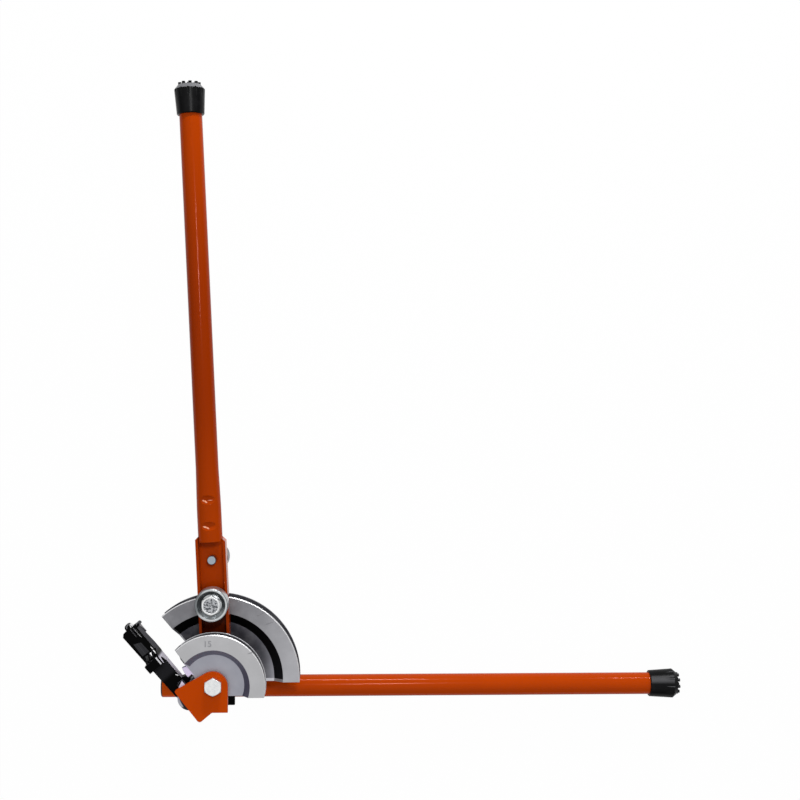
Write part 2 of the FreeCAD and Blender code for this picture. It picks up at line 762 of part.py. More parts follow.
# 15 mm former: coned dish down to the web, which the front plate lies on
former_15 = new_body("former_15")
section_15 = new_sketch(former_15, "former_15_section", "XZ_Plane")
add_outline(section_15, [
    ("0", "0"),
    *rim_corners("15"),
    (RIM["15"], THICKNESS["15"]),
    (RIM["15"] + " - dims.former_15_cone", WEB_15),
    ("0", WEB_15),
])
revolve(former_15, "former_15_disc", section_15)
add_pipe_groove(former_15, "15")
cut_sector(former_15, "former_15_web_end", "15", "web_left", "-1")
cut_sector(former_15, "former_15_rim_end", "15", "rim_left", WEB_15)
add_lug(former_15, "former_15", "0", WEB_15)
stop_sketch = new_sketch(former_15, "former_15_stop_outline", "XY_Plane")
add_outline(stop_sketch, [
    turned("dims.hook_pin_u", "dims.stop_near", "dims.hook_angle"),
    (*turned("dims.stop_reach", "dims.stop_near", "dims.hook_angle"), "1.5"),
    (*turned("dims.stop_reach", "dims.stop_far", "dims.hook_angle"), "1.5"),
    turned("dims.hook_pin_u", "dims.stop_far", "dims.hook_angle"),
])
pad(former_15, "former_15_stop", stop_sketch, WEB_15)
bore_former(former_15, "former_15", THICKNESS["15"])
place(former_15, z=FORMER_15)

# 22 mm former: dished on both faces, with a full-height hub
former_22 = new_body("former_22")
section_22 = new_sketch(former_22, "former_22_section", "XZ_Plane")
FRONT_FLOOR_22 = THICKNESS["22"] + " - dims.former_22_recess"
FLOOR_22 = RIM["22"] + " - dims.former_22_cone"
add_outline(section_22, [
    ("0", "0"),
    ("dims.former_hub_radius", "0"),
    ("dims.former_hub_radius", "dims.former_22_recess"),
    (FLOOR_22, "dims.former_22_recess"),
    (RIM["22"], "0"),
    *rim_corners("22"),
    (RIM["22"], THICKNESS["22"]),
    (FLOOR_22, FRONT_FLOOR_22),
    ("dims.former_hub_radius", FRONT_FLOOR_22),
    ("dims.former_hub_radius", THICKNESS["22"]),
    ("0", THICKNESS["22"]),
])
revolve(former_22, "former_22_disc", section_22)
add_pipe_groove(former_22, "22")
cut_sector(former_22, "former_22_rim_end", "22", "rim_left", "-1")
hub_sketch = new_sketch(former_22, "former_22_hub_circle", "XY_Plane")
add_circle(hub_sketch, "0", "0", "dims.former_hub_radius")
pad(former_22, "former_22_hub", hub_sketch, THICKNESS["22"])
add_lug(former_22, "former_22", "dims.former_22_recess", WEB_22)
bore_former(former_22, "former_22", THICKNESS["22"])
place(former_22, z=FORMER_22)

# Pivot bolt with washer and nut
BOLT_SHANK = "(%s) - (%s) + dims.washer_thickness + dims.nut_height + dims.bolt_end" % (
    BOLT_HEAD, REAR_PLATE)
hex_bolt("pivot_bolt", "dims.bolt_hex", BOLT_SHANK, "0", "0", BOLT_HEAD)
PIVOT_WASHER = REAR_PLATE + " - dims.washer_thickness"
ring("pivot_washer", "dims.bolt_radius + 0.3", "dims.washer_radius", "dims.washer_thickness",
     z=PIVOT_WASHER)
nut = new_body("pivot_nut")
nut_sketch = new_sketch(nut, "nut_hexagon", "XY_Plane")
hexagon(nut_sketch, "dims.bolt_hex")
add_circle(nut_sketch, "0", "0", "dims.bolt_radius + dims.fit_clearance")
pad(nut, "nut_height", nut_sketch, "dims.nut_height")
chamfer_hexagon(nut, "nut_top", "dims.bolt_hex", "dims.nut_height", True)
chamfer_hexagon(nut, "nut_bottom", "dims.bolt_hex", "0", False)
place(nut, z=PIVOT_WASHER + " - dims.nut_height")

# Lever head: channel open to the front, its web next to the 22 mm former
channel = new_body("lever_channel")
channel_outline = new_sketch(channel, "channel_outline", "XY_Plane")
INSIDE = "(dims.tube_radius + dims.spread + dims.fit_clearance)"
HALF = "(%s + dims.lever_wall)" % INSIDE
LEFT = "dims.lever_offset - " + HALF
RIGHT = "dims.lever_offset + " + HALF
HEAD_ROUND = HALF + " - 0.01"
add_outline(channel_outline, [
    (LEFT, "-" + HALF, HEAD_ROUND),
    (RIGHT, "-" + HALF, HEAD_ROUND),
    (RIGHT, LEVER_TOP + " - dims.lever_chamfer - dims.lever_end_drop"),
    (RIGHT + " - dims.lever_chamfer", LEVER_TOP + " - dims.lever_end_drop"),
    (LEFT + " + dims.lever_chamfer", LEVER_TOP),
    (LEFT, LEVER_TOP + " - dims.lever_chamfer"),
])
pad(channel, "channel_block", channel_outline, "dims.lever_depth")
channel_inside = new_sketch(channel, "channel_inside", "XY_Plane", "dims.lever_depth")
add_rectangle(channel_inside, "dims.lever_offset - " + INSIDE, "-2 * " + HALF,
              "dims.lever_offset + " + INSIDE, "2 * " + LEVER_TOP)
pocket(channel, "channel_hollow", channel_inside, "dims.lever_depth - dims.lever_wall")
PIVOT_BORE = "dims.bolt_radius + dims.bush_wall + dims.fit_clearance"
for word, across, distance, radius in (
    ("pivot", "0", "0", PIVOT_BORE),
    ("axle", "dims.lever_offset", REAR_ROLLER_PLACE, "dims.rivet_radius + dims.fit_clearance"),
):
    hole = new_sketch(channel, "channel_%s_circle" % word, "XY_Plane")
    add_circle(hole, across, distance, radius)
    pocket(channel, "channel_%s_hole" % word, hole, "2 * dims.lever_wall", along_normal=True)
place(channel, z=LEVER, turn=LEVER_TURN)

LEVER_FLOOR = LEVER + " + dims.lever_wall"
HUB_LENGTH = "dims.lever_depth - dims.lever_wall"
ring("lever_hub", PIVOT_BORE, INSIDE + " - dims.lever_offset - dims.hub_gap", HUB_LENGTH,
     z=LEVER_FLOOR)
ring("pivot_bush", "dims.bolt_radius + dims.fit_clearance", "dims.bolt_radius + dims.bush_wall",
     "dims.lever_depth", z=LEVER)
for word, level in (("front", FRONT_THRUST), ("rear", REAR_THRUST)):
    ring("lever_washer_" + word, "dims.bolt_radius + dims.fit_clearance",
         "dims.thrust_washer_radius", "dims.thrust_washer", z=level)

# Front roller for the 15 mm former, on a sleeve bolted to a boss in the channel
FRONT_ROLLER = on_lever(FRONT_ROLLER_PLACE)
BOSS_TOP = LEVER + " + dims.lever_depth + dims.boss_stand"
SLEEVE_LENGTH = "dims.front_roller_length - dims.roller_dish + 2 * dims.end_play"
ring("front_roller_boss", "dims.bolt_radius + dims.fit_clearance", "dims.boss_radius",
     HUB_LENGTH + " + dims.boss_stand", *FRONT_ROLLER, LEVER_FLOOR)
ring("front_roller_sleeve", "dims.bolt_radius + dims.fit_clearance", "dims.roller_bearing_radius",
     SLEEVE_LENGTH, *FRONT_ROLLER, BOSS_TOP)
ring("front_roller_washer", "dims.bolt_radius + 0.3", "dims.roller_washer_radius",
     "dims.roller_washer_thickness", *FRONT_ROLLER, BOSS_TOP + " + " + SLEEVE_LENGTH)
roller_bolt = hex_bolt("front_roller_bolt", "dims.roller_bolt_hex", "dims.front_bolt_length",
                       *FRONT_ROLLER,
                       BOSS_TOP + " + " + SLEEVE_LENGTH + " + dims.roller_washer_thickness")
recess = new_sketch(roller_bolt, "roller_bolt_recess_circle", "XY_Plane", "dims.bolt_head_height")
add_circle(recess, "0", "0", "dims.head_recess_radius")
pocket(roller_bolt, "roller_bolt_recess", recess, "dims.head_recess_depth")


def add_roller(label, radius, length, dish_at_top, x, y, z):
    """Steel roller with a coned dish in one end for the head of its axle."""
    body = new_body(label)
    sketch = new_sketch(body, label + "_section", "XZ_Plane")
    bore = "dims.roller_bearing_radius + dims.fit_clearance"
    edge = "dims.roller_edge"
    if dish_at_top:
        corners = [
            (bore, "0"),
            ("%s - %s" % (radius, edge), "0"),
            (radius, edge),
            (radius, "%s - %s" % (length, edge)),
            ("%s - %s" % (radius, edge), length),
            ("dims.roller_dish_radius", length),
            ("dims.roller_dish_floor", "%s - dims.roller_dish" % length),
            (bore, "%s - dims.roller_dish" % length),
        ]
    else:
        corners = [
            (bore, "dims.roller_dish"),
            ("dims.roller_dish_floor", "dims.roller_dish"),
            ("dims.roller_dish_radius", "0"),
            ("%s - %s" % (radius, edge), "0"),
            (radius, edge),
            (radius, "%s - %s" % (length, edge)),
            ("%s - %s" % (radius, edge), length),
            (bore, length),
        ]
    add_outline(sketch, corners)
    revolve(body, label + "_turning", sketch)
    return place(body, x, y, z)


add_roller("front_roller", "dims.roller_radius", "dims.front_roller_length", True, *FRONT_ROLLER,
           BOSS_TOP + " + dims.end_play")

# Rear roller for the 22 mm former, on a shouldered axle riveted through the web
REAR_ROLLER = on_lever(REAR_ROLLER_PLACE)
add_roller("rear_roller", "dims.rear_roller_radius", "dims.rear_roller_length", False,
           *REAR_ROLLER, LEVER + " - dims.end_play - dims.rear_roller_length")
axle = new_body("rear_roller_axle")
axle_sketch = new_sketch(axle, "axle_section", "XZ_Plane")
AXLE_SHOULDER = "-(dims.rear_roller_length - dims.roller_dish + 2 * dims.end_play)"
AXLE_END = AXLE_SHOULDER + " - dims.axle_head"
add_outline(axle_sketch, [
    ("0", AXLE_END),
    ("dims.axle_head_radius - 0.6", AXLE_END),
    ("dims.axle_head_radius", AXLE_END + " + 0.6"),
    ("dims.axle_head_radius", AXLE_SHOULDER),
    ("dims.roller_bearing_radius", AXLE_SHOULDER),
    ("dims.roller_bearing_radius", "0"),
    ("dims.rivet_radius", "0"),
    ("dims.rivet_radius", "dims.lever_wall + dims.rivet_stand - dims.rivet_edge"),
    ("dims.rivet_radius - dims.rivet_edge", "dims.lever_wall + dims.rivet_stand"),
    ("0", "dims.lever_wall + dims.rivet_stand"),
])
revolve(axle, "axle_turning", axle_sketch)
place(axle, *REAR_ROLLER, LEVER)

# Hook pin through both formers and the rear plate, held by a circlip behind it
HOOK_PIN_TOP = FRONT_PLATE + " - dims.fit_clearance"
CIRCLIP = REAR_PLATE + " - dims.circlip_thickness - dims.fit_clearance"
PIN_END = REAR_PLATE + " - dims.circlip_thickness - dims.hook_pin_end"
pin = new_body("hook_pin")
pin_section = new_sketch(pin, "hook_pin_section", "XZ_Plane")
PIN_RADIUS = "dims.hook_pin_radius"
GROOVE_FLOOR = PIN_RADIUS + " - dims.circlip_groove"
CIRCLIP_EDGE = PIN_RADIUS + " + dims.circlip_width"
GROOVE_LOW = "dims.hook_pin_end - 2 * dims.fit_clearance"
GROOVE_HIGH = "dims.hook_pin_end + dims.circlip_thickness"
PIN_LENGTH = "(%s) - (%s)" % (HOOK_PIN_TOP, PIN_END)
add_outline(pin_section, [
    ("0", "0"),
    (PIN_RADIUS + " - 0.6", "0"),
    (PIN_RADIUS, "0.6"),
    (PIN_RADIUS, GROOVE_LOW),
    (GROOVE_FLOOR, GROOVE_LOW),
    (GROOVE_FLOOR, GROOVE_HIGH),
    (PIN_RADIUS, GROOVE_HIGH),
    (PIN_RADIUS, PIN_LENGTH),
    ("0", PIN_LENGTH),
])
revolve(pin, "hook_pin_turning", pin_section)
place(pin, HOOK_PIN_X, HOOK_PIN_Y, PIN_END)

circlip = ring("hook_circlip", GROOVE_FLOOR + " + dims.fit_clearance", CIRCLIP_EDGE,
               "dims.circlip_thickness", HOOK_PIN_X, HOOK_PIN_Y, CIRCLIP)
gap_sketch = new_sketch(circlip, "circlip_gap_outline", "XY_Plane")
add_rectangle(gap_sketch, "0", "-dims.circlip_gap / 2", "2 * (%s)" % CIRCLIP_EDGE,
              "dims.circlip_gap / 2")
pocket(circlip, "circlip_mouth", gap_sketch, "dims.circlip_thickness", along_normal=True)

# Spacers that keep the hook arm level with the lever
LUG_22_TOP = FORMER_22 + " + %s - dims.former_22_recess" % THICKNESS["22"]
PIN_BORE = "dims.hook_pin_radius + dims.fit_clearance"
SPACER_EDGE = "dims.hook_pin_radius + dims.spacer_wall"
ring("hook_spacer_rear", PIN_BORE, SPACER_EDGE, "dims.former_22_recess",
     HOOK_PIN_X, HOOK_PIN_Y, FORMER_22)
ring("hook_spacer_front", PIN_BORE, SPACER_EDGE, "dims.former_22_recess + dims.thrust_washer",
     HOOK_PIN_X, HOOK_PIN_Y, LUG_22_TOP)
HOOK_TOP = "dims.lever_depth + dims.thrust_washer - dims.hook_bar_gap"
BUSH_EDGE = "dims.hook_pin_radius + dims.hook_bush_wall"
ring("hook_bush", PIN_BORE, BUSH_EDGE, HOOK_TOP, HOOK_PIN_X, HOOK_PIN_Y, LEVER)

# Hook arm: one casting in the u, v axes, its underside level with the lever's web
hook = new_body("hook_arm")
EYE_RADIUS = "(%s + dims.hook_eye_wall)" % BUSH_EDGE
BAR_BASE = "%s - dims.hook_bar_depth" % HOOK_TOP
BEAM_BASE = "%s - dims.hook_beam_depth" % HOOK_TOP
BEAM_START = "dims.bend_15_radius + dims.hook_beam_step"
BEAM_END = "dims.bend_22_radius + dims.hook_beam_margin"
BEAM_ROOT = BEAM_START + " - dims.hook_edge"
bar = new_sketch(hook, "hook_bar_outline", "XY_Plane", BAR_BASE)
add_outline(bar, [
    ("dims.hook_pin_u", "dims.hook_bar_near"),
    ("dims.hook_ear_start - dims.hook_ear_slope", "dims.hook_bar_near"),
    ("dims.hook_ear_start", "dims.hook_ear_near", "dims.hook_edge"),
    ("dims.hook_ear_start + dims.hook_ear_width", "dims.hook_ear_near", "dims.hook_edge"),
    ("dims.hook_ear_start + dims.hook_ear_width + dims.hook_ear_slope", "dims.hook_bar_near"),
    (BEAM_START, "dims.hook_bar_near", "dims.hook_round"),
    (BEAM_START + " + dims.hook_notch_length", "dims.hook_beam_near + dims.hook_edge"),
    (BEAM_START + " + dims.hook_notch_length", "dims.hook_beam_far"),
    (BEAM_START + " - dims.hook_notch_length", "dims.hook_bar_far", "dims.hook_round"),
    ("dims.hook_pin_u + " + EYE_RADIUS, "dims.hook_bar_far - dims.hook_edge", "dims.hook_round"),
    ("dims.hook_pin_u", "dims.hook_pin_v + %s - dims.hook_edge" % EYE_RADIUS),
])
pad(hook, "hook_bar", bar, "dims.hook_bar_depth")
eye = new_sketch(hook, "hook_eye_circle", "XY_Plane")
add_circle(eye, "dims.hook_pin_u", "dims.hook_pin_v", EYE_RADIUS)
pad(hook, "hook_eye", eye, HOOK_TOP)

# Its beam grows thinner towards a small lip and has, in its upper part only, a round nose
beam = new_sketch(hook, "hook_beam_outline", "XY_Plane", BEAM_BASE)
LIP_V = "dims.hook_beam_near - dims.hook_lip_reach"
LIP_START = BEAM_END + " - dims.hook_lip_width"
add_outline(beam, [
    (BEAM_ROOT, "dims.hook_beam_near"),
    (LIP_START + " - dims.hook_edge", "dims.hook_beam_near"),
    (LIP_START, LIP_V, "dims.hook_edge / 2"),
    (BEAM_END, LIP_V, "1.5 * dims.hook_edge"),
    (BEAM_END, "dims.hook_beam_far - 2 * dims.hook_edge"),
    (BEAM_END + " - 3 * dims.hook_edge", "dims.hook_beam_far + dims.hook_edge"),
    (BEAM_ROOT, "dims.hook_beam_far"),
])
pad(hook, "hook_beam", beam, "dims.hook_beam_depth")
relief = new_sketch(hook, "hook_relief_outline", "XZ_Plane",
                    "-(dims.hook_beam_near + dims.hook_relief_width)")
add_outline(relief, [
    (BEAM_START + " + dims.hook_notch_length", BEAM_BASE),
    (BEAM_END + " + 1", BEAM_BASE),
    (BEAM_END + " + 1", "%s + dims.hook_relief_height" % BEAM_BASE),
])
pocket(hook, "hook_relief", relief,
       "dims.hook_relief_width + dims.hook_lip_reach + 1", along_normal=True)
nose = new_sketch(hook, "hook_nose_outline", "XY_Plane", "%s - dims.hook_nose_depth" % HOOK_TOP)
NOSE_ROOT = BEAM_END + " - dims.hook_nose_round"
NOSE_END = BEAM_END + " + dims.hook_nose_reach"
NOSE_NEAR = "dims.hook_beam_near + dims.hook_nose_inset"
NOSE_FAR = NOSE_NEAR + " + dims.hook_nose_width"
add_outline(nose, [
    (NOSE_ROOT, NOSE_NEAR),
    (NOSE_END, NOSE_NEAR, "dims.hook_nose_round"),
    (NOSE_END, NOSE_FAR, "dims.hook_nose_round"),
    (NOSE_ROOT, NOSE_FAR),
])
pad(hook, "hook_nose", nose, "dims.hook_nose_depth")

# Wedge-shaped notch behind a thin wall, where the bar's inner edge meets the beam
notch = new_sketch(hook, "hook_notch_outline", "XY_Plane", HOOK_TOP)
NOTCH_START = BEAM_START + " - dims.hook_notch_length"
NOTCH_V = "dims.hook_bar_near + dims.hook_notch_wall"
add_outline(notch, [
    (BEAM_START + " - 3 * dims.hook_edge", NOTCH_V),
    (NOTCH_START, NOTCH_V + " + dims.hook_notch_width"),
    (NOTCH_START, NOTCH_V),
])
pocket(hook, "hook_notch", notch, "dims.hook_notch_depth")


def add_saddle(size, near, far, axis_z, low, high, name):
    """Half-round seat that holds the pipe into its former, open towards the bend axis."""
    radius = "dims.pipe_%s_radius" % size
    centre = "dims.bend_%s_radius" % size
    lip = centre + " + dims.saddle_lip"
    back = "%s + %s + dims.saddle_wall" % (centre, radius)
    block = new_sketch(hook, name + "_block", "XZ_Plane", "-(%s)" % far)
    add_outline(block, [
        (lip, low),
        (back, low),
        (back, high, "2 * dims.hook_edge"),
        (lip, high, "dims.hook_edge"),
    ])
    pad(hook, name, block, "%s - %s" % (far, near))
    seat = new_sketch(hook, name + "_pipe", "XZ_Plane", "-(%s + 1)" % far)
    add_circle(seat, centre, axis_z, radius)
    return seat


SADDLE_15_AXIS = "%s + dims.hook_bar_gap + (%s) / 2" % (HOOK_TOP, THICKNESS["15"])
SADDLE_15_TOP = "%s + dims.pipe_15_radius + dims.saddle_wall" % SADDLE_15_AXIS
SADDLE_22_AXIS = "-(dims.thrust_washer + (%s) / 2)" % THICKNESS["22"]
SADDLE_22_LOW = "%s - dims.pipe_22_radius - dims.saddle_wall" % SADDLE_22_AXIS
seat_15 = add_saddle("15", "dims.saddle_15_near", "dims.saddle_15_far", SADDLE_15_AXIS,
                     "%s - dims.saddle_wall" % HOOK_TOP, SADDLE_15_TOP, "saddle_15")
pocket(hook, "saddle_15_seat", seat_15, "dims.saddle_15_far - dims.saddle_15_near + 2",
       along_normal=True)
seat_22 = add_saddle("22", "dims.saddle_22_near", "dims.saddle_22_far", SADDLE_22_AXIS,
                     SADDLE_22_LOW, "%s + dims.saddle_wall" % BEAM_BASE, "saddle_22")
pocket(hook, "saddle_22_seat", seat_22, "dims.saddle_22_far - dims.saddle_22_near + 2",
       along_normal=True)

# Window through the beam behind the 15 mm saddle, crossed by the saddle's gussets
SADDLE_15_BACK = "dims.bend_15_radius + dims.pipe_15_radius + dims.saddle_wall"
GUSSET_END = SADDLE_15_BACK + " + dims.gusset_reach"
window = new_sketch(hook, "hook_window_outline", "XY_Plane", HOOK_TOP)
add_rectangle(window, SADDLE_15_BACK + " + dims.hook_edge", "dims.window_near",
              GUSSET_END + " - dims.hook_edge", "dims.window_far")
pocket(hook, "hook_window", window, "dims.hook_beam_depth")
gusset = new_sketch(hook, "gusset_outline", "XZ_Plane",
                    "-(dims.saddle_15_near + dims.gusset_thickness)")
GUSSET_FOOT = "%s - dims.hook_edge" % HOOK_TOP
GUSSET_TOP = "%s - dims.saddle_wall" % SADDLE_15_TOP
add_outline(gusset, [
    (SADDLE_15_BACK + " - dims.hook_edge", GUSSET_FOOT),
    (GUSSET_END, GUSSET_FOOT),
    (GUSSET_END, GUSSET_FOOT + " + 2 * dims.hook_edge"),
    (SADDLE_15_BACK + " + dims.hook_edge", GUSSET_TOP),
    (SADDLE_15_BACK + " - dims.hook_edge", GUSSET_TOP),
])
gusset_pad = pad(hook, "gusset", gusset, "dims.gusset_thickness")
gussets = hook.newObject("PartDesign::LinearPattern", "gussets")
gussets.Originals = [gusset_pad]
gussets.Direction = (origin_feature(hook, "Y_Axis"), [""])
gussets.setExpression("Length", "dims.saddle_15_far - dims.saddle_15_near"
                      " - dims.gusset_thickness - dims.gusset_inset")
gussets.setExpression("Occurrences", "dims.gusset_count")
hook.Tip = gussets

# Two staggered slots at the nose's root
slots = new_sketch(hook, "hook_slots_outline", "XY_Plane", HOOK_TOP)
for step, inset in (("1.3", "2.5"), ("3.1", "0.5")):
    centre_v = "dims.hook_beam_near + %s * dims.slot_width" % step
    slot_end = "%s - %s * dims.slot_width" % (BEAM_END, inset)
    add_slot(slots, (slot_end + " - dims.slot_length", centre_v), (slot_end, centre_v),
             "dims.slot_width / 2")
pocket(hook, "hook_slots", slots, "dims.slot_depth")
pin_bore = new_sketch(hook, "hook_pin_circle", "XY_Plane")
add_circle(pin_bore, "dims.hook_pin_u", "dims.hook_pin_v", BUSH_EDGE + " + dims.fit_clearance")
pocket(hook, "hook_pin_bore", pin_bore, HOOK_TOP, along_normal=True)
place(hook, z=LEVER, turn="dims.hook_angle")

doc.recompute()
for item in doc.Objects:
    if "Invalid" in item.State or "Error" in item.State:
        raise SystemExit("%s failed: %s" % (item.Name, item.State))
for item in doc.Objects:
    if item.TypeId in ("PartDesign::Pocket", "PartDesign::Groove"):
        if item.BaseFeature.Shape.Volume - item.Shape.Volume < 0.5:
            raise SystemExit(item.Name + " cuts nothing")
os.makedirs("parts", exist_ok=True)
for piece in parts:
    shape = piece.Shape
    if shape.isNull() or not shape.isValid() or not shape.Solids:
        raise SystemExit(piece.Label + " is not a valid solid")
    shape.exportStep("parts/%s.step" % piece.Label)
    box = shape.BoundBox
    print("%-20s solids %d volume %9.0f  x %7.1f %7.1f  y %7.1f %7.1f  z %6.1f %6.1f" % (
        piece.Label, len(shape.Solids), shape.Volume,
        box.XMin, box.XMax, box.YMin, box.YMax, box.ZMin, box.ZMax))
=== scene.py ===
import json
import math

import bmesh
import bpy
from mathutils import Matrix, Vector


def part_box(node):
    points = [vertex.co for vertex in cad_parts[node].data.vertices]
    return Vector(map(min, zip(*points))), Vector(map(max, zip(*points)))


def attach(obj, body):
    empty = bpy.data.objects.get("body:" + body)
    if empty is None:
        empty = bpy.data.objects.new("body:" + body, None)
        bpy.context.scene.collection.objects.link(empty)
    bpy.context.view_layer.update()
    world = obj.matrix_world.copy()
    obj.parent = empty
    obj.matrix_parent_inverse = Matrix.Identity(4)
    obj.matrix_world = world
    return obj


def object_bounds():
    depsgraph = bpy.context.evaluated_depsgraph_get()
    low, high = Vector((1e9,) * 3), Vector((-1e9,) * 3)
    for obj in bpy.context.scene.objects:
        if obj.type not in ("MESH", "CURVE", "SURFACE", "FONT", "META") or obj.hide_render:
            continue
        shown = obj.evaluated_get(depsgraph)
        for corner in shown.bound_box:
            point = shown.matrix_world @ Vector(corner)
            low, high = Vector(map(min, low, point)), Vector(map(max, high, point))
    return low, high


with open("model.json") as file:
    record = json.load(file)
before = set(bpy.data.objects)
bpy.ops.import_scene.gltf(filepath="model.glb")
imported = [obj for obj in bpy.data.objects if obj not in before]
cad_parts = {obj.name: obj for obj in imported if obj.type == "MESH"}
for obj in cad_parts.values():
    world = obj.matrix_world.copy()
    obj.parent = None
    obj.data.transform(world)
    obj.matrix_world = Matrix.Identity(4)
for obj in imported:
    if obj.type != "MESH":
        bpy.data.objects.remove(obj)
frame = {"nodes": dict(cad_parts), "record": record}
cad_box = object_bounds()

# Lever pipe bender for 15 and 22 mm pipe, lying flat. +Z is the bend axis, towards the camera.
# Lengths are in millimetres unless a name says metres, and MM turns them to metres.
MM = 0.001

# Directions. The hook arm has one out along it and one away from the formers.
ALONG_X = (1, 0, 0)
ALONG_Y = (0, 1, 0)
ALONG_Z = (0, 0, 1)
HOOK_ANGLE = math.radians(130)
HOOK_OUT = (math.cos(HOOK_ANGLE), math.sin(HOOK_ANGLE), 0)
HOOK_AWAY = (-math.sin(HOOK_ANGLE), math.cos(HOOK_ANGLE), 0)
STOP_SLANT = 0.45
ACROSS_STOP_END = tuple(out + STOP_SLANT * away for out, away in zip(HOOK_OUT, HOOK_AWAY))

# Formers: the radius where the dish meets the rim, each face's colour at the right-hand end and
# past the top of the half circle, and the raised marks. The colours past the top are painted light
# and shade, for turning marks that catch less light there, and the large former's near-black dish
# wall and darker dish floor are painted shade.
PAST_TOP = math.radians(85)
FORMERS = {
    "15": {
        "rim_inner": 40.3,
        "rim": ("#ACACAE", "#ACACAE"),
        "wall": ("#6A6C80", "#8E92A4"),
        "floor": ("#A0A1AA", "#A0A1AA"),
        "figures_at": (-6, 47.2),
        "figure_height": 6.6,
        "scale_lines": [((38, 36.5), (44.5, 38.5))],
    },
    "22": {
        "rim_inner": 75.2,
        "rim": ("#A6A6AA", "#757579"),
        "wall": ("#1E1E22", "#020203"),
        "floor": ("#7C7C84", "#404048"),
        "figures_at": (-4.4, 86),
        "figure_height": 7,
        "scale_lines": [((45.1, 71.3), (53.5, 75.1)), ((55.8, 61.5), (64.8, 64.9))],
    },
}
SMALL_FLANGE_RADIUS = 57.5

# Parts of a piece with their own colour. Each span is a direction, where the part begins along it
# and where it is full.
# Painted light on the tube's short end, in the hook arm's shade, and on the end of the channel's
# floor; painted shade on the middle of the lever tube
TUBE_SHORT_END = [(ALONG_X, -28, -38)]
CHANNEL_FLOOR_END = [(ALONG_Y, 98, 112), (ALONG_Z, 96, 88)]
LEVER_MIDDLE = [(ALONG_Y, 670, 400), (ALONG_Y, 170, 330)]
# The small former's stop: its pad and block painted bright as highlight, its side and the block's
# end painted dark as shade
STOP_SIDE = [(HOOK_AWAY, 18, 20)]
STOP_PAD = [(HOOK_AWAY, 9, 9.6), (HOOK_OUT, 23, 24)]
STOP_BLOCK = [*STOP_SIDE, (HOOK_OUT, 13, 16)]
STOP_BLOCK_END = [*STOP_BLOCK, (ACROSS_STOP_END, 36.4, 37.4)]
# Small former: the lug's flat is painted lit grey and its end dark as shade, and the flange's back
# edge has a painted highlight
SMALL_LUG = [(HOOK_AWAY, 20, 24)]
SMALL_LUG_END = [*SMALL_LUG, (HOOK_OUT, 5, 2)]
SMALL_FLANGE_BACK = [(ALONG_Z, 106.5, 105.5), (HOOK_AWAY, 2, 0)]
# Painted highlight along the large former's cut edge and, below, on its cut end
CUT_EDGE_GLINT = [(HOOK_AWAY, -0.7, -0.3)]
CUT_END = [(ALONG_Y, -0.5, -0.9)]
# Painted light on the hook arm: grey on the bar, pale on the side towards the formers near the
# pivot and on the saddle's lip, dim grey on the sloped side, pale and grey in the slots
HOOK_BAR = [(HOOK_OUT, 36, 42), (HOOK_OUT, 56, 54)]
HOOK_LIT_SIDE = [(HOOK_AWAY, 18, 20), (HOOK_OUT, 66, 62)]
HOOK_SLOPED_SIDE = [(HOOK_OUT, 68, 72)]
HOOK_SLOTS = [(HOOK_OUT, 91, 92), (HOOK_AWAY, 25.5, 26)]
HOOK_SLOT_BOTTOM = [(HOOK_AWAY, 29, 30)]
HOOK_SADDLE_LIP = [(ALONG_Z, 116, 118), (HOOK_OUT, 55.5, 56.5),
                   (HOOK_AWAY, 25.3, 25.6), (HOOK_AWAY, 27.2, 26.9)]

# How far a face looks up, from 0 on a wall to 1 on a flat: where a mask begins and is full
ON_FLAT = [(0.8, 0.97)]
ON_WALL = [(0.6, 0.3)]
ON_BEVEL = [(0.6, 0.68), (0.82, 0.74)]
ON_CONE = [(0.3, 0.5), (0.8, 0.65)]

# Where most of a noise pattern's values lie
NOISE_MIDDLE = (0.3, 0.7)


def linear(hex_code):
    """An sRGB hex colour as linear red, green, blue and alpha."""
    channels = [int(hex_code[start:start + 2], 16) / 255 for start in (1, 3, 5)]
    return (*(c / 12.92 if c <= 0.04045 else ((c + 0.055) / 1.055) ** 2.4 for c in channels), 1)


def per_feature(size):
    """Noise scale, on coordinates in metres, that gives features of about this size."""
    return 1 / (size * MM)


def add(tree, kind, inputs=(), **settings):
    """Add a shader node with its settings; an input is given a value or the socket to link."""
    node = tree.nodes.new("ShaderNode" + kind)
    for name, setting in settings.items():
        setattr(node, name, setting)
    for socket, source in dict(inputs).items():
        if isinstance(source, bpy.types.NodeSocket):
            tree.links.new(source, node.inputs[socket])
        else:
            node.inputs[socket].default_value = source
    return node


def emptied(holder):
    """Node tree of a new material or world, with nothing in it."""
    holder.use_nodes = True
    holder.node_tree.nodes.clear()
    return holder.node_tree


def new_material(name):
    """A material with only its shader, whose surface the caller sets."""
    material = bpy.data.materials.new(name)
    tree = emptied(material)
    shader = add(tree, "BsdfPrincipled")
    add(tree, "OutputMaterial", {"Surface": shader.outputs["BSDF"]})
    return material, tree, shader


def set_surface(tree, shader, **values):
    """Set or link the shader's own sockets, named with spaces as underscores."""
    for name, source in values.items():
        socket = shader.inputs[name.replace("_", " ")]
        if isinstance(source, bpy.types.NodeSocket):
            tree.links.new(source, socket)
        else:
            socket.default_value = source


